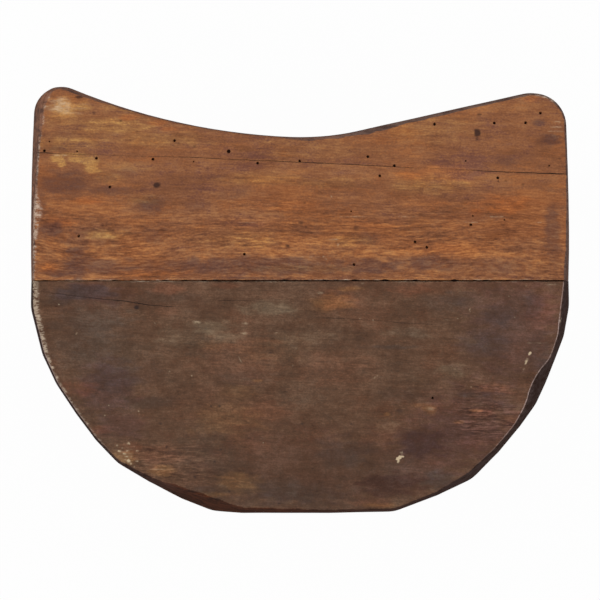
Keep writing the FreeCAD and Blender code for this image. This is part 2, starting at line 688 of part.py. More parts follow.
def export():
    """Writes each piece to its own file and prints its size."""
    os.makedirs("parts", exist_ok=True)
    for body in nodes:
        body.Shape.exportStep(f"parts/{body.Label}.step")
        box = body.Shape.BoundBox
        spans = f"{box.XLength:.1f} x {box.YLength:.1f} x {box.ZLength:.1f}"
        print(f"{body.Label}: {spans}, {body.Shape.Volume:.0f} mm3")


fill_sheet()
make_stool()
check_model()
export()
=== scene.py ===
"""Looks of a three-legged milking stool: a hewn seat of two planks on battens, nails and shaved legs.

Sizes and places are in millimetres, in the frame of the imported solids; meshes are written in metres.
Each piece is worked a little inside the solid that it stands for, so the stool keeps its size.
"""

import logging
import math
from abc import ABC, abstractmethod
from collections.abc import Sequence
from dataclasses import dataclass, field
from enum import Enum

import bpy
import numpy as np
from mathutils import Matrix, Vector, noise
from mathutils.bvhtree import BVHTree
from mathutils.geometry import delaunay_2d_cdt


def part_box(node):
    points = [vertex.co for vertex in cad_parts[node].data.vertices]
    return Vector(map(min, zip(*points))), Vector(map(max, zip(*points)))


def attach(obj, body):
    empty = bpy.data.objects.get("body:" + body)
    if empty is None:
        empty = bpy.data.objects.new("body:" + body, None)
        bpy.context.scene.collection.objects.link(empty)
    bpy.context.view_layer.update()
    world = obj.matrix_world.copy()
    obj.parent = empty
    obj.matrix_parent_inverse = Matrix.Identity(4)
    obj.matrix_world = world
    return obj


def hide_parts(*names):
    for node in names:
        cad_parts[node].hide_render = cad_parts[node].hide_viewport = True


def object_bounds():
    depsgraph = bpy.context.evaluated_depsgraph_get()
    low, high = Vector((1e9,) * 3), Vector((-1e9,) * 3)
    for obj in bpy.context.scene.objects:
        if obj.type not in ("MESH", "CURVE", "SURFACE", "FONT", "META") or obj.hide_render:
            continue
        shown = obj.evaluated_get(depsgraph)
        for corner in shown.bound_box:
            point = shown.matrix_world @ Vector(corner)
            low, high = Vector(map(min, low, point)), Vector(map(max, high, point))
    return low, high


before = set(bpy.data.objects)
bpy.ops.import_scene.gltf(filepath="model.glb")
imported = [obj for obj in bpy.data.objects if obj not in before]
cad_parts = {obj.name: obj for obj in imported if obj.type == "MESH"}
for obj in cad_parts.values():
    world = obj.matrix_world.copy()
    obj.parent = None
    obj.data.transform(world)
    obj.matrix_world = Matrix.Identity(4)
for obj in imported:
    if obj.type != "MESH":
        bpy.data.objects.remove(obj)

CAD_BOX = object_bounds()
BODY = "root"
MM = 0.001
FAR = 1000.0
SKIN = 0.06
TINY = 1e-6
LOG = logging.getLogger("milking_stool")

Colour = tuple[float, float, float, float]
WHITE: Colour = (1.0, 1.0, 1.0, 1.0)


class Side(Enum):
    """The stool's two sides, seen from above with the hollow at the back."""

    LEFT = "left"
    RIGHT = "right"


class Tone(Enum):
    """What a mark on the wood looks like; its value names the mesh's attribute and the wood's colour."""

    DUSK = "dusk"
    # Dark spots on the planks; on legs and battens, painted shade next to the seat as well.
    SOOT = "soot"
    OCHRE = "ochre"
    RUSSET = "russet"
    OLIVE = "olive"
    UMBER = "umber"
    PLUM = "plum"
    PALE = "pale"
    COMBED = "combed"


class Slot(Enum):
    """The record's material slots."""

    BACK_PLANK = "back_plank_wood"
    FRONT_PLANK = "front_plank_wood"
    UNDERFRAME = "underframe_wood"
    INNER = "inner_wood"
    IRON = "nail_iron"


def srgb(red: int, green: int, blue: int) -> Colour:
    """A colour as a screen shows it, 0 to 255, in Blender's linear values."""
    shares = np.array((red, green, blue)) / 255
    linear = np.where(shares <= 0.04045, shares / 12.92, ((shares + 0.055) / 1.055) ** 2.4)
    return (*(float(part) for part in linear), 1.0)


def ripple(points: np.ndarray, spans: Sequence[float], seed: float) -> np.ndarray:
    """Smooth noise over points.

    Args:
        points: Places in millimetres, one row each.
        spans: Size of the noise along each axis, in millimetres.
        seed: Offset that makes one noise differ from another.

    Returns:
        A value from about -1 to 1 for each point.
    """
    scaled = points / np.array(spans) + seed
    return np.array([noise.noise(Vector(point)) for point in scaled])


def fade(values: np.ndarray, low: float, high: float) -> np.ndarray:
    """Values turned into a smooth rise from 0 at low to 1 at high."""
    share = np.clip((values - low) / (high - low), 0, 1)
    return share * share * (3 - 2 * share)


class Wire:
    """One output of a node; Python's operators add Math nodes."""

    def __init__(self, wiring: "Wiring", socket: bpy.types.NodeSocket) -> None:
        """Holds a socket and the tree that it belongs to."""
        self.wiring = wiring
        self.socket = socket

    def _maths(self, operation: str, first: object, second: object) -> "Wire":
        """A Math node of two values."""
        return self.wiring.wire("ShaderNodeMath", {0: first, 1: second}, operation=operation)

    def __add__(self, other: object) -> "Wire":
        """The sum."""
        return self._maths("ADD", self, other)

    __radd__ = __add__

    def __sub__(self, other: object) -> "Wire":
        """The difference."""
        return self._maths("SUBTRACT", self, other)

    def __rsub__(self, other: object) -> "Wire":
        """The difference, the other way round."""
        return self._maths("SUBTRACT", other, self)

    def __mul__(self, other: object) -> "Wire":
        """The product."""
        return self._maths("MULTIPLY", self, other)

    __rmul__ = __mul__

    def at_least(self, other: object) -> "Wire":
        """The larger of two values."""
        return self._maths("MAXIMUM", self, other)

    def fade(self, low: float, high: float) -> "Wire":
        """A smooth rise from 0 at low to 1 at high, or a fall where low is the larger."""
        limits = {"Value": self, "From Min": low, "From Max": high}
        return self.wiring.wire("ShaderNodeMapRange", limits, interpolation_type="SMOOTHSTEP")


class Wiring:
    """A node tree under construction."""

    def __init__(self, tree: bpy.types.NodeTree) -> None:
        """Holds the tree."""
        self.tree = tree

    def node(self, kind: str, sockets: dict | None = None, **settings: object) -> bpy.types.Node:
        """Adds a node.

        Args:
            kind: Blender's name of the node's type.
            sockets: Values or wires by the input's name or number.
            settings: Properties to set first; "stops" holds a ramp's positions and colours.

        Returns:
            The node.
        """
        made = self.tree.nodes.new(kind)
        for name, setting in settings.items():
            if name == "stops":
                self._set_stops(made.color_ramp, setting)
            else:
                setattr(made, name, setting)
        for key, value in (sockets or {}).items():
            if isinstance(value, Wire):
                self.tree.links.new(value.socket, made.inputs[key])
            else:
                made.inputs[key].default_value = value
        return made

    def wire(self, kind: str, sockets: dict | None = None, output: int | str = 0, **settings: object) -> Wire:
        """Adds a node and gives one of its outputs."""
        return Wire(self, self.node(kind, sockets, **settings).outputs[output])

    @staticmethod
    def _set_stops(ramp: bpy.types.ColorRamp, stops: Sequence[tuple[float, Colour]]) -> None:
        """Writes a ramp's stops."""
        while len(ramp.elements) < len(stops):
            ramp.elements.new(1.0)
        for element, (position, colour) in zip(ramp.elements, stops):
            element.position = position
            element.color = colour


class Paint(Wiring):
    """The node tree of one material, with the textures that woods and metals share."""

    def __init__(self, name: str) -> None:
        """Starts an empty material."""
        self.material = bpy.data.materials.new(name)
        self.material.use_nodes = True
        self.material.node_tree.nodes.clear()
        super().__init__(self.material.node_tree)

    def attribute(self, name: str) -> Wire:
        """A number that the mesh holds at each point."""
        return self.wire("ShaderNodeAttribute", output="Fac", attribute_name=name)

    def attribute_vector(self, name: str) -> Wire:
        """A vector that the mesh holds at each point."""
        return self.wire("ShaderNodeAttribute", output="Vector", attribute_name=name)

    def object_place(self) -> Wire:
        """The place on the piece, in millimetres."""
        place = self.wire("ShaderNodeTexCoord", output="Object")
        return self.wire("ShaderNodeVectorMath", {0: place, "Scale": 1 / MM}, operation="SCALE")

    def grain_noise(
        self, place: Wire, spans: Sequence[float], detail: float, seed: float, roughness: float = 0.5
    ) -> Wire:
        """Noise stretched along the grain.

        Args:
            place: Coordinates in millimetres, the grain along the first.
            spans: Size of the noise along each axis, in millimetres.
            detail: How many finer layers it has.
            seed: Offset that makes one noise differ from another.
            roughness: How strong the finer layers are.

        Returns:
            A value of about 0.5, mostly from 0.25 to 0.75.
        """
        scale = tuple(1 / span for span in spans)
        sockets = {0: place, 1: scale, 2: (seed, seed, seed)}
        stretched = self.wire("ShaderNodeVectorMath", sockets, operation="MULTIPLY_ADD")
        sockets = {"Vector": stretched, "Scale": 1.0, "Detail": detail, "Roughness": roughness}
        return self.wire("ShaderNodeTexNoise", sockets, "Fac")

    def mix(self, factor: object, first: object, second: object, blend: str = "MIX") -> Wire:
        """Two colours mixed by a factor."""
        sockets = {0: factor, 6: first, 7: second}
        return self.wire("ShaderNodeMix", sockets, 2, data_type="RGBA", blend_type=blend, clamp_factor=True)

    def ramp(self, factor: Wire, stops: Sequence[tuple[float, Colour]]) -> Wire:
        """A colour looked up along a ramp."""
        return self.wire("ShaderNodeValToRGB", {"Fac": factor}, stops=stops)

    def bump(self, height: Wire, depth: float) -> Wire:
        """A normal from a height, whose full range is a depth in millimetres."""
        return self.wire("ShaderNodeBump", {"Height": height, "Strength": 1.0, "Distance": depth * MM})

    def finish(self, sockets: dict) -> bpy.types.Material:
        """Closes the material with one surface shader that has these inputs."""
        surface = self.wire("ShaderNodeBsdfPrincipled", sockets)
        self.node("ShaderNodeOutputMaterial", {"Surface": surface})
        return self.material


class Recipe(Wiring):
    """A Geometry Nodes tree with named inputs."""

    def __init__(self, name: str) -> None:
        """Starts a tree that takes and gives a geometry."""
        super().__init__(bpy.data.node_groups.new(name, "GeometryNodeTree"))
        self.identifiers: dict[str, str] = {}
        self.tree.interface.new_socket("Geometry", in_out="INPUT", socket_type="NodeSocketGeometry")
        self.tree.interface.new_socket("Geometry", in_out="OUTPUT", socket_type="NodeSocketGeometry")

    def inputs(self, **kinds: str) -> dict[str, Wire]:
        """Adds the tree's named inputs.

        Args:
            kinds: Blender's socket type for each name.

        Returns:
            A wire for each name, and for the geometry.
        """
        for name, kind in kinds.items():
            socket = self.tree.interface.new_socket(name, in_out="INPUT", socket_type=f"NodeSocket{kind}")
            self.identifiers[name] = socket.identifier
        entry = self.node("NodeGroupInput")
        return {name: Wire(self, entry.outputs[name]) for name in ("Geometry", *kinds)}

    def named(self, name: str) -> Wire:
        """A number that the points hold."""
        return self.wire("GeometryNodeInputNamedAttribute", {"Name": name}, data_type="FLOAT")

    def mesh_of(self, holder: Wire) -> Wire:
        """The mesh of an object."""
        return self.wire("GeometryNodeObjectInfo", {"Object": holder}, "Geometry")

    def jointed(self, block: Wire, solid: Wire) -> Wire:
        """The space that a closed block shares with an object's solid, whose joints it gets."""
        shape = self.wire("GeometryNodeMergeByDistance", {"Geometry": self.mesh_of(solid), "Distance": TINY})
        shared = self.node("GeometryNodeMeshBoolean", operation="INTERSECT", solver="MANIFOLD")
        for mesh in (block, shape):
            self.tree.links.new(mesh.socket, shared.inputs["Mesh 2"])
        return Wire(self, shared.outputs["Mesh"])

    def close(self, geometry: Wire, material: Wire, selection: object = True) -> None:
        """Realizes instances, sets the material where selected, and gives the result."""
        realized = self.wire("GeometryNodeRealizeInstances", {"Geometry": geometry})
        sockets = {"Geometry": realized, "Selection": selection, "Material": material}
        dressed = self.wire("GeometryNodeSetMaterial", sockets)
        self.node("NodeGroupOutput", {"Geometry": dressed})

    def apply(self, piece: bpy.types.Object, **values: object) -> None:
        """Runs the tree on a piece and leaves the result as its plain mesh.

        Args:
            piece: Object whose mesh goes in and comes out.
            values: The tree's inputs by name.
        """
        modifier = piece.modifiers.new(self.tree.name, "NODES")
        modifier.node_group = self.tree
        for name, value in values.items():
            modifier[self.identifiers[name]] = value
        evaluated = piece.evaluated_get(bpy.context.evaluated_depsgraph_get())
        mesh = bpy.data.meshes.new_from_object(evaluated)
        piece.modifiers.remove(modifier)
        old = piece.data
        piece.data = mesh
        bpy.data.meshes.remove(old)
        mesh.name = piece.name


@dataclass(frozen=True)
class Figure:
    """How strong each layer of a wood's figure is, and how far its mottling is drawn out along the grain."""

    mottle: float = 1.4
    drawn: float = 2.0
    pores: float = 0.5
    streaks: float = 0.5
    bands: float = 0.5
    flecks: float = 0.2
    hue: float = 0.4


@dataclass(frozen=True)
class Layers:
    """The noises of one wood material, each about 0.5."""

    place: Wire
    mottle: Wire
    chroma: Wire
    flecks: Wire
    pores: Wire
    streaks: Wire
    clouds: Wire


@dataclass(frozen=True)
class Wood:
    """A plain worked wood: mottling and grain streaks, with wear, dirt and painted shade where the mesh says.

    The grain runs along the first axis of the mesh's "grain" attribute.
    """

    name: str
    dark: Colour
    middle: Colour
    light: Colour
    warm: Colour
    cool: Colour
    worn: Colour
    soot: Colour
    figure: Figure = Figure()
    rough: float = 0.74
    gloss: float = 0.2
    relief: float = 0.25

    def wax(self, paint: Paint, layers: Layers) -> dict[str, object]:
        """Inputs of a thin polish, if the wood has one."""
        return {}

    def place(self, paint: Paint) -> Wire:
        """Coordinates along the grain."""
        return paint.attribute_vector("grain")

    def vigour(self, paint: Paint) -> object:
        """How strong the streaks are, as a share of the figure's own strength."""
        return 1.0

    def against_middle(self, tint: Colour) -> Colour:
        """A tint as shares of the wood's middle colour."""
        return (*(part / base for part, base in zip(tint[:3], self.middle[:3])), 1.0)

    def layers(self, paint: Paint) -> Layers:
        """The noises that colour, gloss and relief share."""
        place = self.place(paint)
        drawn = self.figure.drawn
        return Layers(
            place=place,
            mottle=paint.grain_noise(place, (26 * drawn, 26, 26), 5.5, 3.1, 0.92),
            chroma=paint.grain_noise(place, (30 * drawn, 30, 30), 5.5, 41.7, 0.85),
            flecks=paint.grain_noise(place, (1.5, 1.1, 1.1), 1, 47.3, 0.7),
            pores=paint.grain_noise(place, (5.5, 1.0, 1.0), 1.5, 8.7, 0.6),
            streaks=paint.grain_noise(place, (38, 2.5, 2.7), 3, 15.2, 0.6),
            clouds=paint.grain_noise(place, (120, 55, 55), 3, 21.9, 0.55),
        )

    def material(self) -> bpy.types.Material:
        """Builds the material."""
        paint = Paint(self.name)
        layers = self.layers(paint)
        strength = self.figure
        bands = paint.grain_noise(layers.place, (260, 9, 12), 2, 27.4)
        drawn = strength.pores * (layers.pores - 0.5) + strength.streaks * (layers.streaks - 0.5)
        level = (
            0.5
            + strength.mottle * (layers.mottle - 0.5)
            + self.vigour(paint) * drawn
            + strength.bands * (bands - 0.5)
            + strength.flecks * (layers.flecks - 0.5)
        )
        colour = paint.ramp(level, ((0.15, self.dark), (0.5, self.middle), (0.85, self.light)))
        tint = layers.chroma + 0.8 * (layers.clouds - 0.5) + 1.2 * strength.flecks * (layers.flecks - 0.5)
        tint = tint + strength.streaks * (layers.streaks - 0.5)
        for tone, limit in ((self.warm, 0.72), (self.cool, 0.28)):
            share = strength.hue * tint.fade(0.5, limit)
            colour = paint.mix(share, colour, self.against_middle(tone), "MULTIPLY")
        return paint.finish(
            {
                "Base Color": self.dress(paint, layers, colour),
                "Roughness": self.rough + 0.4 * (0.5 - layers.pores) + 0.3 * (layers.mottle - 0.5),
                "Normal": paint.bump(0.6 * layers.pores + 0.4 * layers.streaks, self.relief),
                "Specular IOR Level": self.gloss,
                **self.wax(paint, layers),
            }
        )

    def dress(self, paint: Paint, layers: Layers, colour: Wire) -> Wire:
        """Lays wear, dirt and painted shade over the bare figure.

        Args:
            paint: The material's tree.
            layers: The wood's noises.
            colour: The bare figure.

        Returns:
            The dressed colour.
        """
        worn = paint.attribute("worn") + 1.6 * (layers.streaks - 0.5) + 1.2 * (layers.mottle - 0.5)
        # Dirt, and painted shade next to the seat, as the mesh holds them.
        soiled_and_shaded = paint.attribute(Tone.SOOT.value) + 1.8 * (layers.mottle - 0.5) + 0.6 * (layers.pores - 0.5)
        colour = paint.mix(0.8 * worn.fade(0.35, 0.85), colour, self.worn)
        return paint.mix(0.85 * soiled_and_shaded.fade(0.3, 0.8), colour, self.soot)


@dataclass(frozen=True)
class HiddenWood(Wood):
    """Wood inside the joints, whose pieces keep their solids: the pattern reads the place on the object."""

    def place(self, paint: Paint) -> Wire:
        """The place on the object."""
        return paint.object_place()


@dataclass(frozen=True)
class PlankWood(Wood):
    """Wood of a seat plank, with listed marks, painted shade on its hewn edges and a bare underside."""

    dusk: Colour = srgb(98, 68, 55)
    ochre: Colour = srgb(173, 124, 74)
    russet: Colour = srgb(152, 92, 56)
    olive: Colour = srgb(100, 82, 62)
    umber: Colour = srgb(120, 76, 48)
    plum: Colour = srgb(93, 66, 59)
    pale: Colour = srgb(206, 184, 152)
    # The next three colours are painted shade on the hewn walls.
    edge: Colour = srgb(70, 54, 48)
    edge_shade_dark: Colour = srgb(48, 36, 33)
    edge_shade_warm: Colour = srgb(98, 56, 36)
    under: Colour = srgb(120, 92, 68)
    line: Colour = srgb(176, 154, 148)
    ragged: float = 1.0

    def vigour(self, paint: Paint) -> Wire:
        """How strong the streaks are, by place."""
        return paint.attribute("vigour") + 3 * paint.attribute(Tone.COMBED.value)

    def wax(self, paint: Paint, layers: Layers) -> dict[str, object]:
        """A trace of polish on the sitting face, worn thin in patches."""
        top = paint.attribute("rim").fade(-0.4, 0.6)
        return {"Coat Weight": top * layers.mottle.fade(0.3, 0.7) * 0.2, "Coat Roughness": 0.5}

    def dress(self, paint: Paint, layers: Layers, colour: Wire) -> Wire:
        """Lays marks, wear and the painted shade of the edges over the bare figure; see Wood.dress."""
        uneven = 3.0 * (layers.mottle - 0.5) + 1.0 * (layers.streaks - 0.5) + 0.8 * (layers.pores - 0.5)
        ragged = self.ragged * uneven
        for tone in (Tone.UMBER, Tone.PLUM, Tone.OLIVE, Tone.RUSSET, Tone.OCHRE, Tone.DUSK):
            spread = paint.attribute(tone.value) * (1 + ragged)
            tint = self.against_middle(getattr(self, tone.value))
            colour = paint.mix(spread.fade(0, 1), colour, tint, "MULTIPLY")
        spots = paint.attribute(Tone.SOOT.value) * (1 + 0.8 * ragged)
        colour = paint.mix(0.95 * spots.fade(0, 1), colour, self.soot)
        rim = paint.attribute("rim")
        # Painted shade: the hewn walls, and the top as far in as the rim attribute says, take dark wall
        # colours in place of the wood's own; the faces in the seam take them too.
        edge = paint.mix(paint.attribute("warmth"), self.edge, self.edge_shade_warm)
        edge = paint.mix((layers.streaks + 1.2 * (layers.mottle - 0.5)).fade(0.3, 0.7), self.edge_shade_dark, edge)
        edge_shade = (rim + 3.2 * (layers.mottle - 0.5)).fade(0.15, -0.45)
        colour = paint.mix(edge_shade, colour, edge)
        level = 0.5 + 1.2 * (layers.streaks - 0.5) + 1.2 * (layers.mottle - 0.5)
        bare = paint.ramp(level, ((0.2, self.dark), (0.8, self.under)))
        colour = paint.mix(rim.fade(-33.5, -35.5), colour, bare)
        fibres = paint.grain_noise(layers.place, (5, 1.5, 1.5), 2.5, 31.3, 0.75)
        blotches = paint.grain_noise(layers.place, (7, 4, 4), 2, 53.9, 0.7)
        hairs = 4.2 * (fibres - 0.5) + 2.2 * (blotches - 0.5)
        worn = paint.attribute("worn")
        colour = paint.mix(0.95 * (worn * (1 + 1.5 * hairs)).fade(0.1, 1.3), colour, self.worn)
        line = paint.attribute("line") * rim.fade(-0.35, 0.1) * rim.fade(0.8, 0.35)
        colour = paint.mix((line * (1 + 0.5 * hairs)).fade(0, 1), colour, self.line)
        scuff = paint.attribute(Tone.PALE.value) * (1 + 0.7 * hairs)
        return paint.mix(0.9 * scuff.fade(0.05, 1.0), colour, self.pale)


@dataclass(frozen=True)
class Iron:
    """Forged iron: dark scale with rust in patches."""

    name: str
    scale: Colour
    rust: Colour
    rough: float = 0.6

    def material(self) -> bpy.types.Material:
        """Builds the material."""
        paint = Paint(self.name)
        place = paint.object_place()
        patches = paint.grain_noise(place, (4, 4, 4), 4, 2.3, 0.65)
        pits = paint.grain_noise(place, (0.9, 0.9, 0.9), 2, 6.1)
        rusty = patches.fade(0.42, 0.62)
        return paint.finish(
            {
                "Base Color": paint.mix(rusty, self.scale, self.rust),
                "Metallic": 0.85 * (1 - rusty),
                "Roughness": self.rough + 0.3 * rusty - 0.3 * (pits - 0.5),
                "Normal": paint.bump(0.6 * pits + 0.4 * patches, 0.25),
            }
        )


@dataclass(frozen=True)
class Dust:
    """The dark inside of worm holes and cracks: dirt, with painted shade of these recesses."""

    name: str
    deep: Colour
    shallow: Colour

    def material(self) -> bpy.types.Material:
        """Builds the material."""
        paint = Paint(self.name)
        crumbs = paint.grain_noise(paint.object_place(), (0.8, 0.8, 0.8), 2, 4.4)
        colour = paint.mix(crumbs.fade(0.35, 0.75), self.deep, self.shallow)
        return paint.finish({"Base Color": colour, "Roughness": 0.9 + 0.2 * (crumbs - 0.5)})


BACK_WOOD = PlankWood(
    Slot.BACK_PLANK.value,
    dark=srgb(92, 57, 41),
    middle=srgb(138, 89, 60),
    light=srgb(178, 125, 81),
    warm=srgb(150, 92, 56),
    cool=srgb(118, 76, 63),
    worn=srgb(196, 170, 150),
    soot=srgb(60, 40, 34),
    dusk=srgb(102, 68, 56),
    pale=srgb(206, 176, 142),
    figure=Figure(mottle=0.54, drawn=2.0, pores=0.58, streaks=0.38, bands=0.36, flecks=0.26, hue=0.85),
    # Painted shade on the hewn walls.
    edge=srgb(114, 90, 80),
    edge_shade_dark=srgb(82, 62, 56),
    edge_shade_warm=srgb(142, 100, 79),
    gloss=0.0,
)
FRONT_WOOD = PlankWood(
    Slot.FRONT_PLANK.value,
    dark=srgb(58, 41, 34),
    middle=srgb(95, 69, 53),
    light=srgb(134, 102, 80),
    warm=srgb(108, 64, 44),
    cool=srgb(78, 70, 60),
    worn=srgb(186, 166, 144),
    soot=srgb(50, 40, 38),
    dusk=srgb(77, 61, 52),
    figure=Figure(mottle=0.76, drawn=1.2, pores=0.25, streaks=0.2, bands=0.2, flecks=0.26, hue=0.25),
    ochre=srgb(120, 86, 58),
    russet=srgb(107, 72, 54),
    olive=srgb(107, 86, 68),
    umber=srgb(81, 55, 44),
    # Painted shade on the hewn walls.
    edge=srgb(69, 56, 53),
    edge_shade_dark=srgb(50, 36, 31),
    edge_shade_warm=srgb(86, 48, 31),
    under=srgb(112, 86, 64),
    ragged=0.6,
    gloss=0.0,
)
UNDERFRAME_WOOD = Wood(
    Slot.UNDERFRAME.value,
    dark=srgb(56, 38, 29),
    middle=srgb(96, 67, 48),
    light=srgb(140, 102, 72),
    warm=srgb(110, 68, 42),
    cool=srgb(78, 62, 50),
    worn=srgb(158, 122, 88),
    # The darkest colour: dirt, and painted shade next to the seat.
    soot=srgb(44, 33, 28),
    figure=Figure(mottle=1.2, drawn=3.0, pores=0.7, streaks=0.8, bands=0.5, hue=0.4),
)
INNER_WOOD = HiddenWood(
    Slot.INNER.value,
    dark=srgb(120, 88, 58),
    middle=srgb(160, 124, 84),
    light=srgb(190, 156, 112),
    warm=srgb(172, 124, 76),
    cool=srgb(140, 116, 86),
    worn=srgb(190, 156, 112),
    soot=srgb(96, 70, 46),
)
NAIL_IRON = Iron(Slot.IRON.value, scale=srgb(58, 54, 52), rust=srgb(92, 52, 32))
# Painted shade, over dark dirt, inside worm holes and cracks.
HOLE_DUST_AND_SHADE = Dust("worm_dust", deep=srgb(28, 17, 12), shallow=srgb(58, 36, 25))


class Solid:
    """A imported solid, read where it stands in the frame; lengths are in millimetres."""

    def __init__(self, name: str) -> None:
        """Reads the solid's triangles."""
        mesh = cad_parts[name].data
        self.points = np.array([vertex.co for vertex in mesh.vertices]) / MM
        self.tree = BVHTree.FromPolygons(self.points.tolist(), [face.vertices[:] for face in mesh.polygons])
        self.low = self.points.min(axis=0)
        self.high = self.points.max(axis=0)

    def reach(self, start: np.ndarray, way: np.ndarray) -> float:
        """Distance from an inner point to the outermost surface.

        Args:
            start: The inner point.
            way: Direction of length one.

        Returns:
            The distance, or 0 where the line misses the solid.
        """
        distance = self.tree.ray_cast(Vector(start + way * FAR), Vector(-way))[3]
        return 0.0 if distance is None else FAR - distance


def stand(name: str, data: bpy.types.ID) -> bpy.types.Object:
    """A new object at the scene's origin, with these data."""
    holder = bpy.data.objects.new(name, data)
    bpy.context.scene.collection.objects.link(holder)
    return holder


def make_piece(
    name: str, points: np.ndarray, faces: Sequence[Sequence[int]], links: Sequence[tuple[int, int]] = ()
) -> bpy.types.Object:
    """A new mesh object at the origin.

    Args:
        name: Name of the piece.
        points: Corners in millimetres.
        faces: Corner numbers of each face, anticlockwise from outside.
        links: Corner numbers of each loose edge.

    Returns:
        The object.
    """
    mesh = bpy.data.meshes.new(name)
    mesh.from_pydata((points * MM).tolist(), links, faces)
    return stand(name, mesh)


def points_of(piece: bpy.types.Object) -> np.ndarray:
    """A piece's corners, in millimetres."""
    flat = np.empty(len(piece.data.vertices) * 3, np.float32)
    piece.data.vertices.foreach_get("co", flat)
    return flat.reshape(-1, 3).astype(float) / MM


def hold(piece: bpy.types.Object, name: str, values: np.ndarray) -> None:
    """Writes numbers or vectors to a piece's points, as a named attribute."""
    kind, key = ("FLOAT_VECTOR", "vector") if values.ndim > 1 else ("FLOAT", "value")
    attribute = piece.data.attributes.new(name, kind, "POINT")
    attribute.data.foreach_set(key, values.astype(np.float32).ravel())


def settle(piece: bpy.types.Object, nodes: Sequence[str], crease: float) -> None:
    """Finishes a piece: smooth shading up to a crease angle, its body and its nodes.

    Args:
        piece: The piece.
        nodes: Solids that it stands for.
        crease: Angle in degrees above which an edge stays sharp.
    """
    piece.data.shade_smooth()
    piece.data.set_sharp_from_angle(angle=math.radians(crease))
    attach(piece, BODY)
    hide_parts(*nodes)
    LOG.info("%s: %d faces", piece.name, len(piece.data.polygons))


def strip(rows: int, columns: int) -> list[Sequence[int]]:
    """Faces of a closed band of points, row by row upwards, each row anticlockwise from above."""
    faces = []
    for near in range(0, (rows - 1) * columns, columns):
        for column in range(columns):
            after = (column + 1) % columns
            faces.append((near + column, near + after, near + columns + after, near + columns + column))
    return faces


def tube(rows: int, columns: int) -> list[Sequence[int]]:
    """Faces of such a band, with one face that closes it below and one above."""
    last = (rows - 1) * columns
    return [*strip(rows, columns), list(range(columns))[::-1], list(range(last, last + columns))]


def fill(loop: np.ndarray, inner: np.ndarray) -> list[tuple[int, ...]]:
    """Triangles inside a closed outline.

    Args:
        loop: The outline, anticlockwise.
        inner: Points inside it.

    Returns:
        Triangles, anticlockwise, with numbers that count the outline first and the inner points after it.
    """
    flat = [Vector(point) for point in np.vstack((loop, inner))]
    outline = list(range(len(loop)))
    inner_only, nearest = 1, 1e-5
    _, _, triangles, origins, _, _ = delaunay_2d_cdt(flat, [], [outline], inner_only, nearest)
    return [tuple(origins[corner][0] for corner in triangle) for triangle in triangles]


def carving_recipe() -> Recipe:
    """A tree that cuts a worked block down to its solid's joints and lets flaws into its wood.

    Returns:
        The tree: joints come from the solid, worm holes from points, cracks from chains of points.
    """
    recipe = Recipe("carving")
    given = recipe.inputs(
        **dict.fromkeys(("Solid", "Holes", "Cracks"), "Object"),
        Sides="Int",
        Depth="Float",
        **dict.fromkeys(("Wood", "Dust"), "Material"),
    )
    body = recipe.jointed(given["Geometry"], given["Solid"])

    unit = {"Vertices": given["Sides"], "Radius": 1.0, "Depth": 2.0}
    sizes = {"X": recipe.named("bore"), "Y": recipe.named("bore"), "Z": recipe.named("depth")}
    lean = {"X": recipe.named("lean_x"), "Y": recipe.named("lean_y"), "Z": 0.0}
    drilling = {
        "Points": recipe.wire("GeometryNodeMeshToPoints", {"Mesh": recipe.mesh_of(given["Holes"])}),
        "Instance": recipe.wire("GeometryNodeMeshCylinder", unit),
        "Rotation": recipe.wire("ShaderNodeCombineXYZ", lean),
        "Scale": recipe.wire("ShaderNodeCombineXYZ", sizes),
    }
    drills = recipe.wire("GeometryNodeInstanceOnPoints", drilling)
    bores = recipe.wire("GeometryNodeRealizeInstances", {"Geometry": drills})

    lines = recipe.wire("GeometryNodeMeshToCurve", {"Mesh": recipe.mesh_of(given["Cracks"])})
    upright = recipe.wire("GeometryNodeSetCurveNormal", {"Curve": lines}, mode="Z_UP")
    kite = {"Width": 2.0, "Bottom Height": given["Depth"], "Top Height": given["Depth"]}
    blade = recipe.wire("GeometryNodeCurvePrimitiveQuadrilateral", kite, mode="KITE")
    sweep = {"Curve": upright, "Profile Curve": blade, "Scale": recipe.named("gape"), "Fill Caps": True}
    splits = recipe.wire("GeometryNodeCurveToMesh", sweep)

    for cutters in (bores, splits):
        # The cutters' faces line the flaws and take the dark finish that paints their shade.
        dark = recipe.wire("GeometryNodeSetMaterial", {"Geometry": cutters, "Material": given["Dust"]})
        meshes = {"Mesh 1": body, "Mesh 2": dark}
        body = recipe.wire("GeometryNodeMeshBoolean", meshes, operation="DIFFERENCE", solver="MANIFOLD")
    dust_and_shade_faces = recipe.wire("GeometryNodeMaterialSelection", {"Material": given["Dust"]})
    clear = recipe.wire("FunctionNodeBooleanMath", {0: dust_and_shade_faces}, operation="NOT")
    recipe.close(body, given["Wood"], clear)
    return recipe


def nailing_recipe() -> Recipe:
    """A tree that sets one forged nail at each point, each turned by its own number of quarter turns."""
    recipe = Recipe("nailing")
    given = recipe.inputs(Nail="Object", Seed="Int", Iron="Material")
    quarters = {4: 0, 5: 3, "Seed": given["Seed"]}
    turn = recipe.wire("FunctionNodeRandomValue", quarters, 2, data_type="INT") * (math.pi / 2)
    nailing = {
        "Points": recipe.wire("GeometryNodeMeshToPoints", {"Mesh": given["Geometry"]}),
        "Instance": recipe.mesh_of(given["Nail"]),
        "Rotation": recipe.wire("ShaderNodeCombineXYZ", {"Z": turn}),
    }
    nails = recipe.wire("GeometryNodeInstanceOnPoints", nailing)
    recipe.close(nails, given["Iron"])
    return recipe


def joint_recipe() -> Recipe:
    """A tree that cuts a worked piece down to its solid's joints."""
    recipe = Recipe("jointing")
    given = recipe.inputs(Solid="Object", Wood="Material")
    recipe.close(recipe.jointed(given["Geometry"], given["Solid"]), given["Wood"])
    return recipe


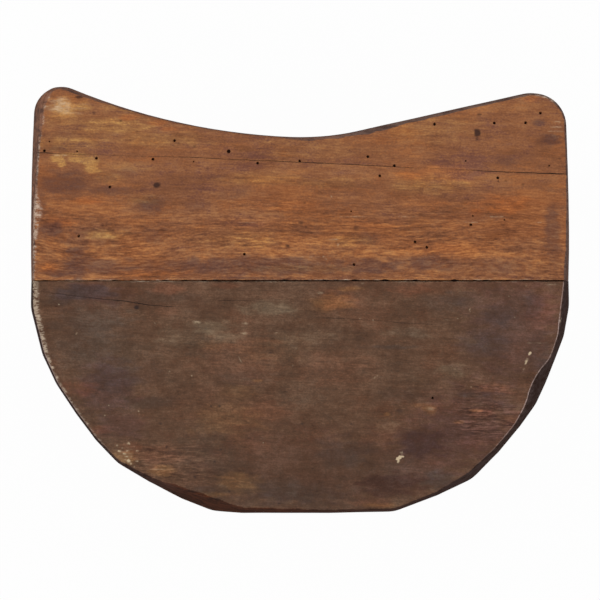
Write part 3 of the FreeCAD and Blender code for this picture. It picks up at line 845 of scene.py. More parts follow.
@dataclass(frozen=True)
class Mark:
    """A mark on a sitting face: its tone, middle, half sizes, strength and turn in degrees."""

    tone: Tone
    x: float
    y: float
    long: float
    wide: float
    strength: float
    turn: float = 0.0
    crisp: float = 1.15
    broad: float = 30.0

    def cover(self, points: np.ndarray, warp: np.ndarray) -> np.ndarray:
        """How strongly the mark covers each point.

        Args:
            points: Places in millimetres.
            warp: Noise from -1 to 1 along two axes, which makes the outline ragged.

        Returns:
            A value from 0 to 1 for each point.
        """
        away = points[:, :2] - (self.x, self.y)
        angle = math.radians(self.turn)
        along = away[:, 0] * math.cos(angle) + away[:, 1] * math.sin(angle)
        across = away[:, 1] * math.cos(angle) - away[:, 0] * math.sin(angle)
        ragged = np.stack((along / self.long, across / self.wide), axis=1) + 0.35 * warp
        inside = np.clip(self.crisp * (1 - np.einsum("ij,ij->i", ragged, ragged)), 0, 1)
        return self.strength * (inside**2 if self.long * self.wide > self.broad else inside)


def marks(tone: Tone, *rows: tuple[float, ...]) -> list[Mark]:
    """Marks of one tone, each from its middle, half sizes, strength and, where it lies aslant, its turn."""
    return [Mark(tone, *row) for row in rows]


def specks(tone: Tone, long: float, wide: float, strength: float, *places: tuple[float, float]) -> list[Mark]:
    """Small marks of one tone, size and strength."""
    return [Mark(tone, x, y, long, wide, strength) for x, y in places]


@dataclass(frozen=True)
class Knot:
    """State of the upper arris and the wall at one angle round the plank; between knots it blends.

    The bevel is the width that is rubbed off, worn the strength of the pale wear that reaches so far in and
    so far down, and clean the depth of bare wood below the arris or, below nought, how far in the painted
    shade of the wall comes over the top, as painted shade of a sloping facet. The line is the strength of a
    thin pale line along its border, and warmth the share of red in that painted shade.
    """

    angle: float
    bevel: float = 0.0
    reach: float = 1.0
    down: float = 3.0
    worn: float = 0.0
    clean: float = 0.0
    line: float = 0.0
    warmth: float = 0.0


@dataclass(frozen=True)
class Swirl:
    """A place where the grain bends: its middle, half sizes, and how far the grain is pushed across there."""

    x: float
    y: float
    long: float
    wide: float
    push: float

    def bend(self, points: np.ndarray) -> np.ndarray:
        """How far the grain is pushed at each point."""
        across = (points[:, 0] - self.x) / self.long
        away = (points[:, 1] - self.y) / self.wide
        return self.push * np.exp(-(across**2) - away**2)


@dataclass(frozen=True)
class Hole:
    """A worm hole in a sitting face: its place and radius."""

    x: float
    y: float
    bore: float


def holes(bore: float, *places: tuple[float, float]) -> list[Hole]:
    """Worm holes of one radius."""
    return [Hole(x, y, bore) for x, y in places]


@dataclass(frozen=True)
class Crack:
    """A crack along the grain: its points, each with half the width of the crack there."""

    points: tuple[tuple[float, float, float], ...]


@dataclass
class Worked(ABC):
    """A piece worked a little inside the solid that it stands for, then cut down to that solid's joints."""

    node: str
    piece: str
    seed: float

    def rough(self, points: np.ndarray, spans: Sequence[float], part: float = 0.0) -> np.ndarray:
        """The piece's own noise over points; each part gives another one."""
        return ripple(points, spans, self.seed + part)

    @abstractmethod
    def tint(self, piece: bpy.types.Object) -> None:
        """Writes the attributes that the finish reads."""

    def cut(
        self, piece: bpy.types.Object, recipe: Recipe, slot: Slot, crease: float, **inputs: object
    ) -> None:
        """Cuts a block to its joints and finishes it.

        Args:
            piece: The worked block.
            recipe: Tree that cuts it.
            slot: Not used.
            crease: Angle in degrees above which an edge stays sharp.
            inputs: The tree's other inputs by name.
        """
        recipe.apply(piece, Solid=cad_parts[self.node], **inputs)
        self.tint(piece)
        settle(piece, [self.node], crease)


@dataclass
class Plank(Worked):
    """One seat plank: hewn walls, a worn sitting face, a sawn underside, and the flaws of its wood."""

    slot: Slot
    wood: PlankWood
    behind: bool
    marks: tuple[Mark, ...]
    arris: tuple[Knot, ...]
    holes: tuple[Hole, ...]
    cracks: tuple[Crack, ...]
    swirls: tuple[Swirl, ...] = ()
    vigour_near: float = 1.0
    vigour_far: float = 1.0
    vigour_span: tuple[float, float] = (25.0, 72.0)
    grain_fall: float = 2.0
    sway: float = 0.6
    top_grid: float = 1.15
    under_grid: float = 6.0
    grid_shift: float = 0.15
    wall_grid: float = 1.5
    wall_step: float = 3.0
    arris_wear: float = 1.6
    hewn_depth: float = 0.14
    chip_depth: float = 0.55
    foot_ease: float = 0.45
    shoulder_ease: float = 0.15
    rim_ease: float = 0.4
    rim_width: float = 3.5
    wave_depth: float = 0.14
    fine_depth: float = 0.05
    saw_depth: float = 0.1
    face_depth: float = 1.8
    seam_gape: float = 0.34
    seam_waves: float = 0.16
    seam_groove: float = 4.0
    seam_chips: float = 0.2
    seam_worn: float = 0.5
    bevel_slope: float = 0.45
    bevel_rag: float = 0.9
    wall_warmth: float = 0.7
    lip_depth: float = 6.0
    hole_sides: int = 9
    hole_depth: float = 4.0
    hole_lean: float = 0.25
    crack_depth: float = 5.0
    crack_step: float = 1.6
    crack_sway: float = 0.22
    crack_rag: float = 0.5
    solid: Solid = field(init=False)

    def __post_init__(self) -> None:
        """Reads the plank's solid and finds the seam."""
        self.solid = Solid(self.node)
        self.way = 1.0 if self.behind else -1.0
        self.seam = self.solid.low[1] if self.behind else self.solid.high[1]
        self.bottom = self.solid.low[2]
        self.top = self.solid.high[2]
        self.middle = np.array((0.0, self.seam + self.way * SKIN, 0.0))

    def ways(self, angles: np.ndarray) -> np.ndarray:
        """Level directions from the middle of the seam, counted from its right end."""
        return np.stack((np.cos(angles), self.way * np.sin(angles), np.zeros_like(angles)), axis=1)

    def edge(self, angles: np.ndarray, height: float) -> np.ndarray:
        """Distances from the middle of the seam to the solid's wall, at one height."""
        start = self.middle + (0, 0, height)
        return np.array([self.solid.reach(start, way) for way in self.ways(angles)])

    def columns(self) -> np.ndarray:
        """Angles whose places on the wall are evenly spaced, from the seam's right end to its left end."""
        trial = np.linspace(0, math.pi, 900)
        spots = self.ways(trial) * self.edge(trial, (self.bottom + self.top) / 2)[:, None]
        along = np.concatenate(([0], np.cumsum(np.linalg.norm(np.diff(spots, axis=0), axis=1))))
        count = round(along[-1] / self.wall_grid)
        return np.interp(np.linspace(0, along[-1], count + 1), along, trial)

    def heights(self) -> np.ndarray:
        """Heights of the wall's rows, close together at both arrises."""
        low = self.bottom + SKIN + np.array((0, 0.5, 1.3))
        shoulder = self.top - self.arris_wear
        steps = round((shoulder - low[-1]) / self.wall_step)
        walls = np.linspace(low[-1], shoulder - 0.5, steps)[1:]
        return np.concatenate((low, walls, shoulder + self.arris_wear * np.array((0, 0.25, 0.5, 0.75, 0.97))))

    def wall(self, angles: np.ndarray, heights: np.ndarray) -> np.ndarray:
        """The hewn wall.

        Args:
            angles: Columns of the wall.
            heights: Rows of the wall.

        Returns:
            Points by row and column.
        """
        rows = []
        for height in heights:
            reach = self.edge(angles, height)
            spots = self.middle + (0, 0, height) + self.ways(angles) * reach[:, None]
            below = np.array(self.top - height)
            hewn = self.hewn_depth * (1 + self.rough(spots, (24, 24, 15))) * fade(below, 0, 6)
            chips = self.chip_depth * fade(self.rough(spots, (9, 9, 5), 40), 0.42, 0.75)
            low_ease = self.foot_ease * (1 - fade(np.array(height - self.bottom), 0, 1.6))
            from_shoulder = np.abs(np.array(self.top - self.arris_wear - height))
            shoulder = self.shoulder_ease * (1 - fade(from_shoulder, 0, 1.2))
            inset = SKIN + hewn + chips * fade(below, 14, 1) + low_ease + shoulder
            rows.append(spots - self.ways(angles) * inset[:, None])
        return np.array(rows)

    def opening(self, along: np.ndarray) -> np.ndarray:
        """How far the seam's upper arris is worn back, by the place along the seam."""
        places = np.stack((along, np.zeros_like(along), np.zeros_like(along)), axis=1)
        slow = self.rough(places, (70, 1, 1), 3)
        quick = self.rough(places, (7, 1, 1), 5)
        tight = 0.6 + 0.6 * fade(along, -95, -60)
        return tight * (self.seam_gape + self.seam_waves * slow + self.seam_chips * fade(quick, 0.0, 0.8))

    def seam_face(self, ends: np.ndarray, heights: np.ndarray) -> np.ndarray:
        """The jointed face along the seam, from the left end to the right one, without the ends."""
        rows = []
        for height, (right, left) in zip(heights, ends):
            count = round((self.solid.high[0] - self.solid.low[0]) / self.wall_grid)
            along = np.linspace(left, right, count + 1)[1:-1]
            groove = fade(np.array(height - self.top), -self.seam_groove, 0) ** 0.7
            back = SKIN + self.opening(along) * groove
            row = np.stack((along, self.seam + self.way * back, np.full_like(along, height)), axis=1)
            rows.append(row)
        return np.array(rows)

    def sink(self, points: np.ndarray, inside: np.ndarray) -> np.ndarray:
        """How far the sitting face lies below the solid's top, by place and distance from the arris."""
        flat = points * (1, 1, 0)
        waves = self.wave_depth * (1 + self.rough(flat, (85, 30, 1), 7))
        fine = self.fine_depth * (1 + self.rough(flat, (30, 6, 1), 9))
        bevel = np.maximum(self.rubbed(points), TINY)
        rubbed = self.bevel_slope * bevel * np.clip(1 - inside / bevel, 0, 1)
        eased = self.rim_ease * (1 - fade(inside, 0, self.rim_width))
        return SKIN + waves + fine + np.maximum(rubbed, eased)

    def rubbed(self, points: np.ndarray) -> np.ndarray:
        """Ragged width that is rubbed off the upper arris, by each point's angle round the plank."""
        ragged = 1 + self.bevel_rag * self.rough(points * (1, 1, 0), (9, 9, 1), 35)
        return self.knots(points, "bevel") * ragged

    def polar(self, points: np.ndarray) -> tuple[np.ndarray, np.ndarray]:
        """Each point's angle round the middle of the seam and distance from it, seen from above."""
        away = points[:, :2] - self.middle[:2]
        return np.arctan2(self.way * away[:, 1], away[:, 0]), np.linalg.norm(away, axis=1)

    def knots(self, points: np.ndarray, name: str) -> np.ndarray:
        """One value of the arris's knots, blended by each point's angle round the plank."""
        turns = np.degrees(self.polar(points)[0])
        turns = np.where(turns < -90, turns + 360, turns)
        angles = [knot.angle for knot in self.arris]
        return np.interp(turns, angles, [getattr(knot, name) for knot in self.arris])

    def inside(self, points: np.ndarray, reach: np.ndarray) -> np.ndarray:
        """Distance of each point inside an outline that reaches so far at the plank's columns."""
        angles, distances = self.polar(points)
        return np.interp(angles, self.angles, reach) - distances

    def lattice(self, grid: float, reach: np.ndarray, margin: float) -> np.ndarray:
        """Staggered points inside an outline.

        Args:
            grid: Distance between the points.
            reach: The outline's distances at the plank's columns.
            margin: Space that stays free along the outline.

        Returns:
            The points, flat.
        """
        rise = grid * math.sqrt(3) / 2
        low, high = self.solid.low, self.solid.high
        spots = []
        for number, y in enumerate(np.arange(low[1], high[1], rise)):
            start = low[0] + (grid / 2 if number % 2 else 0)
            row = np.arange(start, high[0], grid)
            spots.append(np.stack((row, np.full_like(row, y)), axis=1))
        spots = np.concatenate(spots)
        draws = np.random.default_rng(int(self.seed))
        spots += draws.uniform(-self.grid_shift, self.grid_shift, spots.shape) * grid
        within = self.inside(spots, reach) > margin
        clear = self.way * (spots[:, 1] - self.seam) > SKIN + self.opening(spots[:, 0]) + margin
        return spots[within & clear]

    def block(self) -> bpy.types.Object:
        """The plank's worked outside, closed, without joints or flaws."""
        self.angles = self.columns()
        heights = self.heights()
        wall = self.wall(self.angles, heights)
        ends = np.stack((wall[:, 0, 0], wall[:, -1, 0]), axis=1)
        band = np.concatenate((wall, self.seam_face(ends, heights)), axis=1)
        if not self.behind:
            band = band[:, ::-1]
        self.rim_reach = self.polar(wall[-1])[1]
        foot_reach = self.polar(wall[0])[1]
        rows, columns = band.shape[:2]
        band = band.reshape(-1, 3)
        top_start = (rows - 1) * columns
        top_loop, foot_loop = band[top_start:], band[:columns]
        top_loop[:, 2] = self.top - self.sink(top_loop, np.zeros(columns))

        top_flat = self.lattice(self.top_grid, self.rim_reach, 0.6 * self.top_grid)
        top_inner = np.column_stack((top_flat, np.zeros(len(top_flat))))
        top_inner[:, 2] = self.top - self.sink(top_inner, self.inside(top_inner, self.rim_reach))
        foot_flat = self.lattice(self.under_grid, foot_reach, 0.5 * self.under_grid)
        foot_inner = np.column_stack((foot_flat, np.zeros(len(foot_flat))))
        sawn = self.saw_depth * (1 + self.rough(foot_inner, (40, 25, 1), 11))
        foot_inner[:, 2] = self.bottom + SKIN + sawn

        faces = strip(rows, columns)
        first_top, first_foot = len(band), len(band) + len(top_inner)
        for triangle in fill(top_loop[:, :2], top_flat):
            faces.append([top_start + n if n < columns else first_top + n - columns for n in triangle])
        for triangle in fill(foot_loop[:, :2], foot_flat):
            faces.append([n if n < columns else first_foot + n - columns for n in reversed(triangle)])
        return make_piece(self.piece, np.vstack((band, top_inner, foot_inner)), faces)

    def hole_points(self) -> bpy.types.Object:
        """A point for each worm hole, with its radius, depth and lean."""
        spots = np.array([(hole.x, hole.y, self.top) for hole in self.holes])
        points = make_piece(f"{self.piece}_holes", spots, [])
        draws = np.random.default_rng(int(self.seed) + 1)
        lean = draws.uniform(-self.hole_lean, self.hole_lean, (len(spots), 2))
        hold(points, "bore", np.array([hole.bore for hole in self.holes]) * MM)
        hold(points, "depth", np.full(len(spots), self.hole_depth * MM))
        hold(points, "lean_x", lean[:, 0])
        hold(points, "lean_y", lean[:, 1])
        return points

    def crack_chains(self) -> bpy.types.Object:
        """A chain of points for each crack, each with half its width."""
        spots, links, widths = [], [], []
        for crack in self.cracks:
            knots = np.array(crack.points)
            along = np.arange(knots[0, 0], knots[-1, 0], self.crack_step)
            line = np.stack((along, np.interp(along, knots[:, 0], knots[:, 1]), np.zeros_like(along)), axis=1)
            line[:, 1] += self.crack_sway * self.rough(line, (5, 1, 1), 13)
            line[:, 2] = self.top
            links += [(len(spots) + n, len(spots) + n + 1) for n in range(len(line) - 1)]
            spots += line.tolist()
            uneven = 1 + self.crack_rag * self.rough(line, (9, 1, 1), 17)
            widths += (np.interp(along, knots[:, 0], knots[:, 2]) * uneven * MM).tolist()
        chains = make_piece(f"{self.piece}_cracks", np.array(spots), [], links)
        hold(chains, "gape", np.array(widths))
        return chains

    def tint(self, piece: bpy.types.Object) -> None:
        """Writes the attributes that the finish reads: grain, arrises and marks."""
        points = points_of(piece)
        self.tint_grain(piece, points)
        self.tint_arris(piece, points)
        self.tint_marks(piece, points)

    def tint_grain(self, piece: bpy.types.Object, points: np.ndarray) -> None:
        """Writes places along the swaying grain, and how strong its streaks are."""
        fall = math.tan(math.radians(self.grain_fall))
        slow = self.rough(points, (44, 17, 44), 51)
        quick = self.rough(points, (15, 7, 15), 57)
        sway = self.sway * (slow + 0.4 * quick)
        bend = sum(swirl.bend(points) for swirl in self.swirls)
        drift = np.outer(points[:, 0] * fall + sway + bend, (0, 1, 0))
        hold(piece, "grain", points + drift + self.seed * 31)
        share = fade(np.abs(points[:, 1] - self.seam), *self.vigour_span)
        uneven = 0.3 * self.rough(points, (60, 22, 60), 29)
        hold(piece, "vigour", self.vigour_near + (self.vigour_far - self.vigour_near) * share + uneven)

    def tint_arris(self, piece: bpy.types.Object, points: np.ndarray) -> None:
        """Writes how far in from the painted wall shade each point lies, and the wear and warmth along the
        arrises.
        """
        depth = self.top - points[:, 2]
        inside = self.inside(points, self.rim_reach)
        on_top = (depth < self.face_depth) & (inside > -0.05)
        bevel = self.rubbed(points)
        bared = np.where(on_top, np.maximum(inside, 0), -np.maximum(depth, 0.3)) - bevel
        seam_gap = self.way * (points[:, 1] - self.seam)
        groove = SKIN + self.opening(points[:, 0]) - 0.08
        jointed = (seam_gap < 0.2) | ((seam_gap < groove) & (depth > 0.4))
        clean = self.knots(points, "clean")
        lip = clean * (depth < self.lip_depth)
        hold(piece, "rim", np.where(jointed, np.minimum(bared, -depth), bared + lip))
        hold(piece, "line", self.knots(points, "line"))

        reach = self.knots(points, "reach")
        # Where clean is below nought, the wear moves in to the border of the painted facet shade.
        past = inside - bevel + np.minimum(clean, 0)
        upper = np.where(past < 0, 1 + past / 0.9, 1 - fade(past, 0, reach))
        lower = (1 - fade(depth, 0.5, self.knots(points, "down"))) * (1 - fade(bevel, 0.2, 0.8))
        across = np.where(on_top, np.clip(upper, 0, 1), lower)
        worn = self.knots(points, "worn") * across
        along = 0.6 + 0.8 * self.rough(points, (30, 1000, 1000), 33)
        seam_line = self.seam_worn * np.clip(along, 0, 1) * (1 - fade(seam_gap, 0.5, 1.7))
        hold(piece, "worn", np.where(on_top, np.maximum(worn, seam_line), worn))
        hold(piece, "warmth", self.knots(points, "warmth") * np.where(on_top, 1, self.wall_warmth))

    def tint_marks(self, piece: bpy.types.Object, points: np.ndarray) -> None:
        """Writes the sitting face's listed marks, tone by tone."""
        near = self.top - points[:, 2] < self.face_depth
        warp = np.stack([self.rough(points, (9, 3, 9), part) for part in (19, 23)], axis=1)
        for tone in Tone:
            cover = np.zeros(len(points))
            for mark in self.marks:
                if mark.tone is tone:
                    cover[near] = np.maximum(cover[near], mark.cover(points[near], warp[near]))
            hold(piece, tone.value, cover)

    def build(self, carving: Recipe, dust_and_shade: bpy.types.Material) -> None:
        """Makes the plank.

        Args:
            carving: Tree that cuts joints and flaws.
            dust_and_shade: Finish inside the flaws.
        """
        piece = self.block()
        helpers = self.hole_points(), self.crack_chains()
        self.cut(
            piece,
            carving,
            self.slot,
            crease=35,
            Holes=helpers[0],
            Cracks=helpers[1],
            Sides=self.hole_sides,
            Depth=self.crack_depth,
            Wood=self.wood.material(),
            Dust=dust_and_shade,
        )
        for helper in helpers:
            bpy.data.objects.remove(helper)


@dataclass
class Leg(Worked):
    """A shaved eight-sided leg with a round tenon, its foot cut level with the floor."""

    heading: float
    splay: float = 7.0
    columns: int = 64
    step: float = 4.0
    foot_ease: float = 2.5
    level_reach: float = 45.0
    shoulder: float = 217.03
    facet_waves: float = 0.35
    corner_wear: float = 0.3
    nick_depth: float = 0.7
    solid: Solid = field(init=False)

    def __post_init__(self) -> None:
        """Finds the leg's foot, axis and cross directions."""
        self.solid = Solid(self.node)
        low = np.unique(self.solid.points.round(3), axis=0)
        self.foot = low[low[:, 2] < 0.01].mean(axis=0)
        lean, turn = math.radians(self.splay), math.radians(self.heading)
        out = np.array((math.cos(turn), math.sin(turn), 0.0))
        self.axis = math.cos(lean) * np.array((0, 0, 1.0)) - math.sin(lean) * out
        self.first = math.cos(lean) * out + math.sin(lean) * np.array((0, 0, 1.0))
        self.second = np.cross(self.axis, self.first)

    def stations(self) -> np.ndarray:
        """Places of the rings along the axis, from the sole to the end of the tenon."""
        top = ((self.solid.points - self.foot) @ self.axis).max() - SKIN
        sole = SKIN + np.array((0, 0.3, 0.7, 1.0)) * self.foot_ease
        shaft = np.arange(sole[-1] + self.step, self.shoulder - 1.5, self.step)
        shoulder = self.shoulder + np.array((-0.6, -0.1, 0.1))
        tenon = np.linspace(self.shoulder + 4, top, 7)
        return np.concatenate((sole, shaft, shoulder, tenon))

    def ring(self, station: float) -> np.ndarray:
        """One ring of points, level at the sole and square to the axis further up."""
        angles = np.arange(self.columns) * 2 * math.pi / self.columns
        ways = np.outer(np.cos(angles), self.first) + np.outer(np.sin(angles), self.second)
        level = 1 - fade(np.array(station), self.foot_ease + 1, self.level_reach)
        ways -= level * np.outer(ways[:, 2] / self.axis[2], self.axis)
        ways /= np.linalg.norm(ways, axis=1)[:, None]
        middle = self.foot + self.axis * station / (self.axis[2] ** level)
        reach = np.array([self.solid.reach(middle, way) for way in ways])
        if station > self.shoulder:
            return middle + ways * (reach.max() - SKIN)
        spots = middle + ways * reach[:, None]
        waves = self.facet_waves * (1 + self.rough(spots, (26, 26, 34))) / 2
        nicks = self.nick_depth * fade(self.rough(spots, (7, 7, 10), 7), 0.45, 0.8)
        corner = np.abs(np.sin(4 * (angles - math.pi / 8))) < 0.25
        wear = self.corner_wear * corner * (1.2 + self.rough(spots, (9, 9, 18), 3))
        return spots - ways * (SKIN + waves + nicks + wear)[:, None]

    def tint(self, piece: bpy.types.Object) -> None:
        """Writes what the finish reads: grain, worn corners, a darker foot and painted shade below the seat.
        """
        away = points_of(piece) - self.foot
        along = away @ self.axis
        across = np.stack((away @ self.first, away @ self.second), axis=1)
        hold(piece, "grain", np.column_stack((along, across)) + self.seed * 37)
        angles = np.arctan2(across[:, 1], across[:, 0])
        corner = 1 - fade(np.abs(np.sin(4 * (angles - math.pi / 8))), 0.1, 0.55)
        hold(piece, "worn", 0.55 * corner + 0.5 * fade(along, 60, 12) * (along > 3))
        # Darker at the foot, and painted shade on the leg's top just below the seat.
        hold(piece, Tone.SOOT.value, 0.75 * (1 - fade(along, 2, 14)) + 0.6 * fade(along, 175, 215))

    def build(self, jointing: Recipe, wood: bpy.types.Material) -> None:
        """Makes the leg.

        Args:
            jointing: Tree that cuts the tenon's kerf.
            wood: Finish of the leg.
        """
        rings = [self.ring(station) for station in self.stations()]
        count = len(rings)
        faces = strip(count, self.columns)
        sole, top = count * self.columns, count * self.columns + 1
        last = (count - 1) * self.columns
        for column in range(self.columns):
            after = (column + 1) % self.columns
            faces.append((after, column, sole))
            faces.append((last + column, last + after, top))
        middles = np.array((rings[0].mean(axis=0), rings[-1].mean(axis=0)))
        piece = make_piece(self.piece, np.vstack((*rings, middles)), faces)
        self.cut(piece, jointing, Slot.UNDERFRAME, crease=24, Wood=wood)


@dataclass
class Batten(Worked):
    """A batten under the seat, sawn and planed, its ends cut off aslant below."""

    end_cut: float = 9.0
    arris_cut: float = 2.0
    grid: float = 2.4
    saw_marks: float = 0.22
    nick_depth: float = 0.8
    end_ease: float = 0.5

    def __post_init__(self) -> None:
        """Reads the batten's box."""
        low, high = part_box(self.node)
        self.low = np.array(low) / MM
        self.high = np.array(high) / MM

    def profile(self, place: float) -> np.ndarray:
        """One section across the batten, as points in order round it."""
        near_end = min(place - self.low[1], self.high[1] - place)
        rise = max(0.0, self.end_cut - near_end)
        left, right = self.low[0] + SKIN, self.high[0] - SKIN
        bottom, top = self.low[2] + rise + SKIN, self.high[2] - SKIN
        cut = min(self.arris_cut, top - bottom - 1)
        corners = np.array(
            (
                (right, top),
                (right, bottom + cut),
                (right - cut, bottom),
                (left + cut, bottom),
                (left, bottom + cut),
                (left, top),
            )
        )
        counts = (9, 2, 14, 2, 9, 15)
        spots = []
        for number, count in enumerate(counts):
            start, end = corners[number], corners[(number + 1) % len(corners)]
            spots.append(start + (end - start) * np.linspace(0, 1, count, endpoint=False)[:, None])
        flat = np.concatenate(spots)
        return np.column_stack((flat[:, 0], np.full(len(flat), place), flat[:, 1]))

    def build(self, jointing: Recipe, wood: bpy.types.Material) -> None:
        """Makes the batten.

        Args:
            jointing: Tree that cuts the nail holes.
            wood: Finish of the batten.
        """
        length = self.high[1] - self.low[1] - 2 * SKIN
        ends = np.array((0, 0.35, 1.0))
        middle = np.linspace(2.5, length - 2.5, round(length / self.grid))
        places = self.low[1] + SKIN + np.concatenate((ends, middle, length - ends[::-1]))
        rings = np.array([self.profile(place) for place in places])
        count, columns = rings.shape[:2]
        centre = rings.mean(axis=1, keepdims=True) * (1, 0, 1) + rings * (0, 1, 0)
        flat = rings.reshape(-1, 3)
        sawn = self.saw_marks * (1 + self.rough(flat, (30, 5, 30))) / 2
        nicks = self.nick_depth * fade(self.rough(flat, (7, 9, 7), 5), 0.45, 0.8)
        from_end = np.minimum(flat[:, 1] - places[0], places[-1] - flat[:, 1])
        eased = self.end_ease * (1 - fade(from_end, 0, 1.2))
        inward = centre.reshape(-1, 3) - flat
        inward /= np.maximum(np.abs(inward).max(axis=1), TINY)[:, None]
        flat = flat + inward * (sawn + nicks + eased)[:, None]
        piece = make_piece(self.piece, flat, tube(count, columns))
        self.cut(piece, jointing, Slot.UNDERFRAME, crease=24, Wood=wood)

    def tint(self, piece: bpy.types.Object) -> None:
        """Writes what the finish reads: grain, worn lower arrises, painted shade by the seat, darker ends."""
        points = points_of(piece)
        hold(piece, "grain", points[:, [1, 0, 2]] + self.seed * 41)
        side = np.minimum(points[:, 0] - self.low[0], self.high[0] - points[:, 0])
        end = np.minimum(points[:, 1] - self.low[1], self.high[1] - points[:, 1])
        edge = np.minimum(side, end)
        low = points[:, 2] - self.low[2]
        hold(piece, "worn", 0.7 * (1 - fade(edge, 0.5, 3.5)) * (1 - fade(low, 1, 6)))
        # Painted shade along the batten's top, where it meets the seat; darker towards the ends.
        hold(piece, Tone.SOOT.value, 0.7 * fade(low, 14, 24) + 0.5 * (1 - fade(end, 1, 8)))


@dataclass
class NailRow:
    """The forged nails of one batten: square tapered shanks and hammered heads, hidden points up."""

    side: Side
    seed: int
    count: int = 4
    shank: float = 4.0
    point: float = 1.0
    head: float = 10.0
    head_rise: float = 2.8
    rim: float = 0.8
    crown: float = 4.0
    per_side: int = 6

    def __post_init__(self) -> None:
        """Reads where the nails stand."""
        self.nodes = [f"{self.side.value}_batten_nail_{number}" for number in range(1, self.count + 1)]
        boxes = [np.array(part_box(node)) / MM for node in self.nodes]
        self.length = boxes[0][1][2] - boxes[0][0][2]
        self.places = np.array([(*(box.mean(axis=0)[:2]), box[0][2]) for box in boxes])

    def square(self, half: float, height: float, rough: float) -> np.ndarray:
        """A hammered square of points, anticlockwise from above."""
        share = np.linspace(-1, 1, self.per_side, endpoint=False)
        side = np.column_stack((share, -np.ones(self.per_side)))
        sides = [side @ np.linalg.matrix_power(np.array(((0, 1), (-1, 0))), quarter) for quarter in range(4)]
        flat = np.concatenate(sides) * half
        spots = np.column_stack((flat, np.full(len(flat), height)))
        dents = rough * (1 + ripple(spots, (3, 3, 3), 4.7))
        spots[:, :2] *= (1 - dents / max(half, 1))[:, None]
        return spots

    def nail(self) -> bpy.types.Object:
        """One nail, its head's lowest point at the origin."""
        body = self.head_rise
        rings = [
            self.square(0.35 * self.crown, 0.15, 0.1),
            self.square(0.5 * self.crown - 0.1, 0.35, 0.15),
            self.square(0.36 * self.head, 1.15, 0.2),
            self.square(0.5 * self.head - 0.1, body - self.rim, 0.2),
            self.square(0.5 * self.head - 0.1, body - 0.1, 0.2),
            self.square(0.5 * self.shank, body - 0.05, 0.02),
            self.square(0.5 * self.shank - 0.05, body + 1, 0.05),
            self.square(0.5 * self.point, self.length - 0.1, 0.02),
        ]
        return make_piece("forged_nail", np.concatenate(rings), tube(len(rings), 4 * self.per_side))

    def build(self, nailing: Recipe, iron: bpy.types.Material) -> None:
        """Makes the row of nails.

        Args:
            nailing: Tree that sets a nail at each place.
            iron: Finish of the nails.
        """
        piece = make_piece(f"{self.side.value}_batten_nail_row", self.places, [])
        nail = self.nail()
        nailing.apply(piece, Nail=nail, Seed=self.seed, Iron=iron)
        bpy.data.objects.remove(nail)
        settle(piece, self.nodes, crease=30)


@dataclass(frozen=True)
class Joinery:
    """Dowels and wedges hidden in the joints, which keep their solids and get a finish."""

    nodes: tuple[str, ...] = (
        "left_seam_dowel",
        "middle_seam_dowel",
        "right_seam_dowel",
        "left_rear_leg_wedge",
        "right_rear_leg_wedge",
        "front_leg_wedge",
    )

    def dress(self, wood: bpy.types.Material) -> None:
        """Gives each piece the finish."""
        for node in self.nodes:
            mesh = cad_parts[node].data
            mesh.materials.clear()
            mesh.materials.append(wood)
            LOG.info("%s: dressed", node)


def make_floor() -> None:
    """Lays a wide pale floor that keeps the stool's shadow and looks white to the camera."""
    reach = 4000.0
    whiteness = 0.96
    corners = np.array(((-reach, -reach, 0), (reach, -reach, 0), (reach, reach, 0), (-reach, reach, 0)))
    floor = make_piece("floor", corners, [(0, 1, 2, 3)])
    paint = Paint("floor_white")
    seen = seen_rays(paint)
    lit = paint.wire("ShaderNodeBsdfDiffuse", {"Color": (0.9, 0.9, 0.9, 1.0)})
    plain = paint.wire("ShaderNodeEmission", {"Color": WHITE, "Strength": 1.0})
    shader = paint.wire("ShaderNodeMixShader", {0: whiteness * seen, 1: lit, 2: plain})
    paint.node("ShaderNodeOutputMaterial", {"Surface": shader})
    floor.data.materials.append(paint.material)


def seen_rays(wiring: Wiring) -> Wire:
    """1 for rays from the camera, reflections and glass, and 0 for the light that bounces about."""
    path = wiring.node("ShaderNodeLightPath")
    names = ("Is Camera Ray", "Is Glossy Ray", "Is Transmission Ray")
    camera, glossy, glass = (Wire(wiring, path.outputs[name]) for name in names)
    return camera.at_least(glossy).at_least(glass)


@dataclass(frozen=True)
class Lamp:
    """A soft square lamp aimed at the seat: its direction, distance, width and power."""

    name: str
    azimuth: float
    elevation: float
    distance: float
    width: float
    power: float


